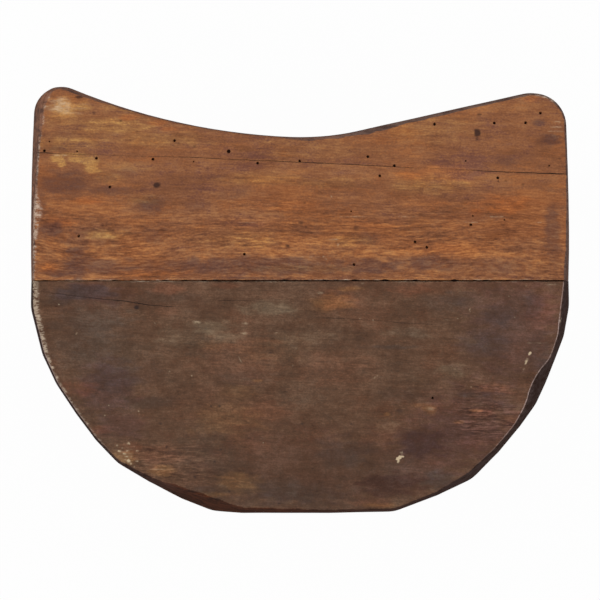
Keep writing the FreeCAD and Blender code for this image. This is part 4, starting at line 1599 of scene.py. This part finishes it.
@dataclass
class Studio:
    """Camera, lamps, white surroundings and floor."""

    camera_distance: float = 2500.0
    view_width: float = 420.0
    sensor: float = 36.0
    ambient: float = 0.5
    lamps: tuple[Lamp, ...] = (
        Lamp("left_lamp", 180, 42, 2400, 1600, 16),
        Lamp("right_lamp", 0, 42, 2400, 1600, 12),
        Lamp("back_lamp", 90, 50, 2600, 1600, 10),
        Lamp("front_lamp", 270, 38, 2600, 1600, 8),
    )

    def build(self) -> None:
        """Sets the scene round the stool."""
        scene = bpy.context.scene
        scene.view_settings.view_transform = "Standard"
        seat_top = CAD_BOX[1].z
        self.aim_camera(seat_top)
        for lamp in self.lamps:
            self.hang(lamp, seat_top)
        self.surround(scene)
        make_floor()

    def aim_camera(self, seat_top: float) -> None:
        """Looks straight down on the sitting face, with the hollow of the back at the top."""
        data = bpy.data.cameras.new("camera")
        data.sensor_width = self.sensor
        data.lens = self.sensor * self.camera_distance / self.view_width
        data.clip_end = 50
        camera = stand("camera", data)
        camera.location = (0, 0, seat_top + self.camera_distance * MM)
        bpy.context.scene.camera = camera

    def hang(self, lamp: Lamp, seat_top: float) -> None:
        """Hangs a lamp and turns it to the seat."""
        data = bpy.data.lights.new(lamp.name, "AREA")
        data.shape = "SQUARE"
        data.size = lamp.width * MM
        data.energy = lamp.power
        turn, rise = math.radians(lamp.azimuth), math.radians(lamp.elevation)
        way = Vector((math.cos(turn) * math.cos(rise), math.sin(turn) * math.cos(rise), math.sin(rise)))
        holder = stand(lamp.name, data)
        holder.location = Vector((0, 0, seat_top)) + way * lamp.distance * MM
        holder.rotation_euler = way.to_track_quat("Z", "Y").to_euler()

    def surround(self, scene: bpy.types.Scene) -> None:
        """White surroundings to the camera, and a plain level of light from all round."""
        scene.world = bpy.data.worlds.new("surroundings")
        scene.world.use_nodes = True
        scene.world.node_tree.nodes.clear()
        wiring = Wiring(scene.world.node_tree)
        strength = self.ambient + (1 - self.ambient) * seen_rays(wiring)
        sky = wiring.wire("ShaderNodeBackground", {"Color": WHITE, "Strength": strength})
        wiring.node("ShaderNodeOutputWorld", {"Surface": sky})


BACK_ARRIS: tuple[Knot, ...] = (
    Knot(-3, bevel=0.3),
    Knot(4, bevel=0.3),
    Knot(10, bevel=0.1),
    Knot(17),
    Knot(33),
    Knot(37, reach=1.6, worn=0.5),
    Knot(42),
    Knot(46, bevel=0.5),
    Knot(54, bevel=1.2),
    Knot(60, bevel=2.2),
    Knot(65, bevel=2.2),
    Knot(70, bevel=1.2),
    Knot(77, bevel=0.9, warmth=0.5),
    Knot(84, bevel=0.8, warmth=0.6),
    Knot(93, bevel=0.6, warmth=0.6),
    Knot(99, clean=1.2, warmth=0.6),
    Knot(136, clean=1.3, warmth=0.6),
    Knot(141.5, warmth=0.8),
    Knot(144, bevel=2.4, reach=1.5, worn=0.5, warmth=0.9),
    Knot(147, bevel=1.8, reach=1.5, worn=0.6, warmth=0.9),
    Knot(150, bevel=0.8, reach=1.3, worn=0.5, warmth=0.9),
    Knot(153, reach=1.0, worn=0.4, warmth=0.8),
    Knot(162, reach=1.2, worn=0.4, warmth=0.8),
    Knot(163.5, reach=7.0, down=20, worn=0.95, warmth=0.8),
    Knot(166, reach=6.4, down=20, worn=0.95, warmth=0.8),
    Knot(168, reach=3.4, down=14, worn=0.7, warmth=0.7),
    Knot(172, reach=2.6, down=10, worn=0.6, warmth=0.6),
    Knot(176, reach=1.8, down=8, worn=0.4, warmth=0.5),
    Knot(183, reach=1.8, down=6, worn=0.4, warmth=0.4),
)
FRONT_ARRIS: tuple[Knot, ...] = (
    Knot(-3, line=0.4),
    Knot(7, line=0.5),
    Knot(8.3, reach=0.8, worn=0.7, line=0.7),
    Knot(9.6, line=0.6),
    Knot(14.5, clean=0.5, line=0.5),
    Knot(17, clean=0.4, line=0.45),
    # Below nought, clean paints the shade of a sloping facet onto the flat top at these angles.
    Knot(20, clean=-0.5, line=0.5),
    Knot(22.5, clean=-0.4, line=0.45),
    Knot(24, clean=-1.0, line=0.5),
    Knot(26, clean=-1.9, line=0.6),
    Knot(28, clean=-1.5, line=0.65),
    Knot(30, clean=-0.7, line=0.65),
    Knot(33, clean=-0.4, line=0.5),
    Knot(37, clean=0.2, line=0.4),
    Knot(42, clean=0.4, line=0.2),
    Knot(50, clean=0.4),
    Knot(66, clean=0.8, warmth=0.3),
    Knot(82, clean=0.6, warmth=0.6),
    Knot(94, bevel=0.3, warmth=1.0),
    Knot(100, bevel=0.4, warmth=1.0),
    Knot(106, bevel=0.5, warmth=1.0),
    Knot(112, bevel=0.9, warmth=1.0),
    Knot(117, bevel=1.4, warmth=1.0),
    Knot(120, bevel=1.3, warmth=0.8),
    Knot(126, bevel=0.5, warmth=0.4),
    Knot(134, bevel=0.2, clean=0.4, warmth=0.2),
    Knot(142, reach=0.8, worn=0.3, clean=1.0, line=0.3),
    Knot(150, reach=0.8, worn=0.45, clean=1.4, line=0.45),
    Knot(157, reach=1.0, worn=0.55, clean=1.6, line=0.55),
    Knot(162, reach=1.8, worn=0.65, clean=1.6, line=0.6),
    Knot(166, reach=3.2, worn=0.8, clean=1.6, line=0.5),
    Knot(172, reach=4.2, worn=0.9, clean=1.4, line=0.3),
    Knot(176, reach=5.0, worn=0.8, clean=0.8),
    Knot(183, reach=5.0, worn=0.75, clean=0.6),
)
BACK_HOLES: tuple[Hole, ...] = (
    *holes(1.4, (-50, 104)),
    *holes(
        1.05,
        (-179, 104.5), (-142.5, 99), (-103, 98.5), (-88, 111.5), (-29.5, 96), (0, 97.5), (-133, 79),
        (-155, 45), (-39, 32), (94, 123), (136, 124), (158, 124), (168.5, 131), (47.5, 100.5), (66, 94),
        (56, 87), (138.5, 85.5), (119.5, 52.5), (80.5, 40.5), (89, 37), (38, 25),
    ),
    *holes(0.8, (-184.5, 96)),
    *holes(
        0.6,
        (-175.5, 111), (-156, 104), (-74.5, 97), (36, 62), (121, 59), (143, 56), (116, 97.5),
        (174.5, 94),
    ),
)
FRONT_HOLES: tuple[Hole, ...] = tuple(holes(0.9, (93, -68.5)))
BACK_CRACKS: tuple[Crack, ...] = (
    Crack(
        (
            (-193, 103.5, 0.5), (-187, 103, 0.45), (-178, 103, 0.3), (-170, 102.5, 0.15),
            (-140, 101.5, 0.1), (-105, 100.5, 0.1), (-77, 100, 0.2), (-50, 98.5, 0.15), (0, 96.5, 0.25),
            (35, 95, 0.25), (80, 92.5, 0.15), (98, 92, 0.1), (119, 91, 0.1), (134, 90, 0.25),
            (160, 89, 0.3), (193, 88, 0.4),
        )
    ),
)
FRONT_CRACKS: tuple[Crack, ...] = (
    Crack(
        (
            (-181, 6, 0.1), (-166, 4, 0.15), (-138, 0.5, 0.2), (-124, -0.5, 0.25), (-115, -2, 0.3),
            (-106, -3.5, 0.25), (-93, -4.5, 0.2), (-85, -4.5, 0.05),
        )
    ),
    Crack(((-62, 0, 0.05), (-52, -0.5, 0.15), (-38, -0.5, 0.15), (-30, -0.5, 0.05))),
    Crack(
        (
            (8, -12, 0.05), (18, -12.5, 0.15), (31, -13, 0.15), (45, -14, 0.1), (57, -14.5, 0.1),
            (70, -16, 0.15), (92, -17, 0.1), (101, -17, 0.05),
        )
    ),
)
BACK_MARKS: tuple[Mark, ...] = (
    *marks(
        Tone.DUSK,
        (-166, 116, 21, 6, 0.25), (-170, 106, 13, 3.5, 0.55), (-165, 82, 29, 14, 0.75),
        (-140, 85, 20, 6, 0.4), (-134, 77, 24, 6, 0.6), (-120, 89, 17, 6, 0.3), (-86, 79, 34, 17, 0.3),
        (-59, 120, 35, 4, 0.35), (-181, 66, 6, 15, 0.5), (-103, 66, 18, 10, 0.75),
        (-73, 66, 17, 8, 0.35), (-35, 73, 42, 7, 0.35), (21, 65, 42, 6, 0.35), (119, 59, 49, 8, 0.4),
        (-173, 50, 14, 10, 1.0), (-147, 44, 42, 10, 0.4), (-103, 45, 20, 10, 0.5),
        (48, 44, 17, 10, 0.4), (140, 45, 42, 10, 0.25), (177, 45, 10, 42, 0.6), (-156, 27, 14, 17, 1.2),
        (-105, 26, 35, 6, 0.4), (-168, 19, 21, 5, 0.8), (-140, 24, 22, 9, 0.7), (-59, 20, 31, 5, 0.5),
        (0, 21, 49, 6, 0.65), (50, 24, 26, 9, 1.0), (92, 26, 34, 9, 0.7), (140, 24, 42, 8, 0.45),
        (-35, 24, 168, 10, 0.7), (-35, 15, 29, 1.5, 0.8), (145, 98, 15, 7, 0.5), (175, 112, 14, 6, 1.1),
        (168, 124, 8, 4, 0.6),
    ),
    *marks(
        Tone.SOOT,
        (-154.5, 142, 3.5, 1.5, 0.8), (-100, 80.5, 3, 2.5, 1.1), (-144.5, 131, 2, 1.5, 0.5),
        (124, 117, 3.2, 3.8, 1.1), (124, 112.5, 1.5, 1.5, 0.8), (125.5, 130, 2.5, 1.5, 0.6),
        (1, 54, 3, 1.5, 0.7), (-9, 38, 2, 1.5, 0.7), (39, 50, 3, 2, 0.6), (139, 83, 1, 1, 0.8),
    ),
    *specks(
        Tone.SOOT, 1.5, 1.2, 0.55,
        (-74, 107.5), (-85, 109.5), (-125.5, 125.5), (3, 68), (-114, 118), (-65, 92), (-26, 102),
        (-41.5, 104.5), (144, 83.5), (156, 81), (182, 99),
    ),
    *marks(
        Tone.OCHRE,
        (-162, 135, 22, 10, 0.65), (-163, 126, 21, 7, 0.35), (-119, 135, 31, 7, 0.35),
        (-133, 122, 48, 10, 0.45), (-161, 110, 42, 10, 0.45), (-100, 112, 55, 10, 0.35),
        (-170, 99.5, 9, 4, 1.2, 12), (-167, 97, 5, 4.5, 1.0, -40), (-150, 98, 15, 5, 1.2, -8),
        (-146, 93, 9, 6, 1.1, -30), (-159, 102, 24, 2, 0.7), (-119, 93, 32, 6, 0.2),
        (-133, 86, 17, 8, 0.3), (0, 105, 91, 15, 0.2), (91, 120, 56, 18, 0.25), (91, 80, 42, 10, 0.45),
        (-28, 85, 56, 7, 0.3), (21, 82, 42, 6, 0.3), (-108, 70, 18, 6, 0.4), (-136, 46, 21, 6, 0.6),
        (-42, 42, 49, 10, 0.25), (35, 42, 28, 6, 0.3), (0, 22, 63, 4, 0.35),
    ),
    *marks(
        Tone.RUSSET,
        (-166, 147, 10, 3, 0.35), (-120, 128, 8, 3, 0.8), (-100, 124, 8, 2.5, 0.9),
        (-92, 120, 8, 2, 0.7), (163, 141, 10, 4, 0.7), (-42, 107, 49, 6, 0.3), (97, 88, 43, 11, 0.6),
        (-151, 70, 22, 4, 0.7), (-7, 66, 49, 7, 0.35), (91, 67, 35, 8, 0.4), (140, 67, 32, 10, 0.95),
        (-168, 54, 18, 6, 0.6), (-28, 54, 63, 7, 0.35), (56, 54, 42, 7, 0.35), (98, 35, 49, 8, 0.35),
        (-176, 22, 13, 6, 0.8), (-105, 18.5, 52, 3.5, 0.6),
    ),
    *marks(
        Tone.PALE,
        (-166, 136, 18, 8, 0.5), (-169, 133.5, 14, 2, 0.4), (-171, 139, 9, 2, 0.4),
        (-159, 130.5, 13, 1.5, 0.3), (-152, 137, 10, 1, 0.35), (-168, 101.5, 10, 1, 0.5),
        (-37, 54.5, 8, 0.6, 0.35), (23, 42.5, 7, 0.6, 0.35), (9.5, 30, 17, 0.6, 0.4),
        (35, 58.5, 14, 0.6, 0.35), (74, 58.5, 11, 0.6, 0.35), (119.5, 54, 13, 0.6, 0.4),
        (137, 58.5, 10, 0.6, 0.4), (167, 54, 7, 0.6, 0.4), (179.5, 124.5, 6, 0.7, 0.5),
        (179.5, 121, 7, 0.7, 0.5), (179, 118, 7, 0.7, 0.5), (177.5, 114.5, 6, 0.7, 0.45),
    ),
    *specks(Tone.PALE, 1.2, 1, 0.5, (18.5, 28.5), (22, 72.5), (26.5, 39)),
)
FRONT_MARKS: tuple[Mark, ...] = (
    *marks(
        Tone.UMBER,
        (0, -119, 147, 49, 0.5), (119, -91, 56, 35, 0.45), (86, -100, 34, 17, 0.75),
        (62, -129, 41, 14, 1.1), (105, -110, 27, 13, 0.4), (77, -84, 21, 10, 0.3),
    ),
    *marks(
        Tone.PLUM,
        (-148, 5, 44, 12, 0.5), (-135, -62, 34, 30, 0.6), (-125, -88, 30, 18, 0.5),
        (150, -20, 56, 66, 0.5), (118, -86, 62, 46, 0.5), (92, -108, 50, 36, 0.4),
    ),
    *marks(
        Tone.DUSK,
        (-150, 5, 36, 8, 1.0), (-168, 0, 18, 8, 0.6), (-131, 0, 18, 10, 0.5), (-105, 2, 56, 8, 0.4),
        (-146, -15, 46, 22, 0.55), (-150, -35, 42, 24, 0.45), (-128, -52, 36, 22, 0.5),
        (-105, -49, 18, 14, 0.35), (-105, -72, 31, 8, 0.55), (-38, -54, 35, 11, 0.4),
        (98, -2, 28, 10, 0.45), (109, 0, 20, 10, 0.6), (77, -23, 20, 8, 0.3), (63, -33, 29, 2.5, 0.7),
        (140, -11, 21, 15, 0.5), (131, -30, 31, 17, 0.55), (163, -3, 13, 15, 0.6),
        (168, -37, 17, 28, 0.4), (172, -46, 14, 13, 0.7), (128, -66, 32, 3.5, 0.6),
        (138, -69, 18, 10, 0.4), (70, -67, 28, 11, 0.4), (86, -100, 29, 15, 0.55),
        (109, -98, 21, 14, 0.3), (98, -126, 21, 11, 0.6), (32, -107, 36, 17, 0.5),
        (0, -135, 63, 13, 0.5), (-63, -133, 28, 6, 0.5), (62, -128, 32, 12, 0.4),
    ),
    *marks(Tone.SOOT, (-114, -5, 2.5, 2.2, 1.1), (69.5, -77.5, 3.5, 2, 0.5)),
    *specks(
        Tone.SOOT, 1.5, 1.1, 0.75,
        (-93.5, -103), (-55.5, -104.5), (-62, -74.5), (-56.5, -74.5), (-60, -113), (-73.5, -124),
        (-49.5, -134), (-14.5, -142.5), (1.5, -86.5), (36, -86.5), (-97.5, -86.5), (-20.5, -37),
    ),
    *marks(
        Tone.OCHRE,
        (22, -2, 22, 9, 0.8), (36, 8, 13, 3, 0.8), (-21, -35, 42, 14, 0.25), (-63, -32, 21, 6, 0.3),
        (-30, -56.5, 5, 1.5, 0.7), (-44, -65, 21, 11, 0.35), (-49, -84, 42, 18, 0.4),
        (91, -76, 7, 3.5, 1.1), (88, -74, 14, 2, 0.6), (61, -80, 3.5, 1.5, 1.0),
        (123, -77.5, 5.5, 1.5, 0.9), (112, -85.5, 5, 1.5, 0.9), (-122, -110, 13, 9, 0.7),
        (-96, -120, 18, 6, 0.7), (-43, -128, 24, 11, 0.8), (-60, -136, 17, 3, 0.7),
        (56, -144, 20, 3, 0.6),
    ),
    *marks(
        Tone.RUSSET,
        (-94, 8, 17, 6, 1.0), (-52, 10, 14, 4, 0.9), (26, 0, 27, 13, 0.5), (77, 7, 24, 7, 0.8),
        (-92, -7, 14, 8, 0.4), (168, -10, 17, 20, 0.5), (-42, -41, 52, 28, 0.6), (21, -49, 42, 21, 0.5),
        (-105, -50, 18, 15, 0.3), (-154, -62, 17, 8, 1.2), (-140, -91, 12, 6, 1.0),
        (-118, -104, 14, 6, 0.9), (136, -63, 22, 8, 0.6), (-70, -70, 35, 21, 0.35),
        (-25, -77, 31, 13, 0.65), (126, -79, 18, 6, 0.6), (151, -84, 15, 11, 0.6),
        (-38, -98, 29, 18, 0.5), (119, -100, 17, 7, 0.5), (-98, -109, 28, 14, 0.6),
        (50, -142, 29, 5, 0.5),
    ),
    *marks(
        Tone.OLIVE,
        (-21, -6, 32, 8, 0.9), (-131, -12, 32, 14, 0.25), (-61, -20, 24, 10, 0.9),
        (-52, -26, 17, 6, 0.8), (-84, -25, 28, 14, 0.5), (0, -25, 35, 11, 0.4), (76, -23, 32, 7, 0.45),
        (105, -49, 15, 8, 0.7), (60, -87, 14, 9, 0.4),
    ),
    *marks(Tone.COMBED, (130, -84, 30, 22, 1.3), (-90, -115, 44, 22, 0.7), (128, -62, 30, 8, 0.6)),
    *marks(
        Tone.PALE,
        (69.5, -110.5, 3, 1.4, 1.8, 35), (71.5, -107, 1.7, 1.1, 0.55), (68.5, -113.5, 1.3, 1, 1.1),
        (72, -109.5, 1.2, 0.9, 1.2), (91.5, -76, 5, 2, 0.3), (-97.5, -118.5, 12.5, 0.7, 0.3),
        (-106, -116, 5.5, 0.7, 0.3), (-123, -107.5, 12, 10, 0.2), (-120, -112.5, 1.8, 1, 0.9, -45),
        (161, -37.5, 1.5, 0.9, 1.8, 68), (158.5, -43, 2.8, 1.1, 0.7, 65),
        (156.5, -49, 2.8, 1.1, 0.4, 70), (166, -30, 10, 0.6, 0.3), (176.5, 11, 7, 0.6, 0.35),
        (-101.5, -17, 2, 0.6, 0.4, -55), (-96.5, -27.5, 1.8, 0.6, 0.4, -60),
        (-42, -41.5, 4, 0.6, 0.35, -60), (-73, -16, 4, 2, 0.45), (-64, -22, 14, 5, 0.12),
        (-39.5, -20.5, 13, 6, 0.1), (-38.5, -16.5, 3, 1.7, 0.35), (-39, -23.5, 4, 1.1, 0.35),
        (-16.5, -23, 3.5, 0.7, 0.4), (13.5, 5, 3.5, 1.2, 0.5), (6.5, 10.5, 1.4, 0.7, 0.35),
        (44, 11.5, 2, 0.8, 0.4), (102.5, -14, 3.5, 1.1, 0.35), (119, -7, 0.6, 1.8, 0.45),
        (52, -54.5, 3.5, 0.5, 0.5, 35), (-41, -119, 0.6, 1, 0.45),
    ),
    *specks(
        Tone.PALE, 1.3, 0.85, 0.7,
        (-128, -101.5), (-120, -100.5), (-126.5, -106), (-123, -107.5), (-120.5, -106), (-114, -106),
        (-121.5, -110), (-114, -112.5), (-118.5, -114.5), (-116.5, -116.5),
    ),
    *specks(
        Tone.PALE, 0.95, 0.7, 0.5,
        (-124.5, -104), (-122, -111.5), (-117.5, -110), (-124, -110), (-116.5, -102.5),
    ),
    *specks(
        Tone.PALE, 0.9, 0.65, 0.45,
        (-127, -8.5), (-168.5, -3), (-156.5, -23.5), (-82.5, -14), (-76, -53), (-91.5, -50),
        (-3, -33.5), (-5.5, -45.5), (5, -26.5), (-9, -8), (42, -13), (51, -14), (110, -13), (146, 3),
        (158.5, 10), (150.5, -12), (133.5, -41.5), (120, -61), (101, -20.5), (130, -32.5),
        (-25.5, -99.5), (-34.5, -128), (-134, -74), (-108.5, -72.5), (-113, -78), (-123.5, -81),
        (-130.5, -81), (-137, -81),
    ),
)


def planks() -> tuple[Plank, Plank]:
    """The seat's two planks."""
    back = Plank(
        node="seat_back_plank",
        piece="back_plank",
        slot=Slot.BACK_PLANK,
        wood=BACK_WOOD,
        behind=True,
        seed=5.0,
        marks=BACK_MARKS,
        arris=BACK_ARRIS,
        holes=BACK_HOLES,
        cracks=BACK_CRACKS,
        swirls=(Swirl(-150, 28, 70, 22, 9), Swirl(40, 18, 60, 14, 4), Swirl(150, 40, 60, 20, -4)),
        vigour_near=1.65,
        vigour_far=0.55,
        sway=1.0,
        seam_chips=0.9,
        wall_warmth=1.0,
    )
    front = Plank(
        node="seat_front_plank",
        piece="front_plank",
        slot=Slot.FRONT_PLANK,
        wood=FRONT_WOOD,
        behind=False,
        seed=11.0,
        marks=FRONT_MARKS,
        arris=FRONT_ARRIS,
        holes=FRONT_HOLES,
        cracks=FRONT_CRACKS,
    )
    return back, front


def main() -> None:
    """Builds the stool piece by piece."""
    logging.basicConfig(level=logging.INFO, format="%(name)s: %(message)s")
    Studio().build()
    carving = carving_recipe()
    dust_and_shade = HOLE_DUST_AND_SHADE.material()
    for plank in planks():
        plank.build(carving, dust_and_shade)
    jointing = joint_recipe()
    wood = UNDERFRAME_WOOD.material()
    legs = (("left_rear_leg", 3.0, 150), ("right_rear_leg", 7.0, 30), ("front_leg", 13.0, -90))
    for leg, seed, heading in legs:
        Leg(leg, f"{leg}_shaved", seed, heading).build(jointing, wood)
    nailing = nailing_recipe()
    iron = NAIL_IRON.material()
    for side, seed in ((Side.LEFT, 4), (Side.RIGHT, 9)):
        batten = f"{side.value}_batten"
        Batten(batten, f"{batten}_planed", seed).build(jointing, wood)
        NailRow(side, seed).build(nailing, iron)
    Joinery().dress(INNER_WOOD.material())


if __name__ == "__main__":
    main()
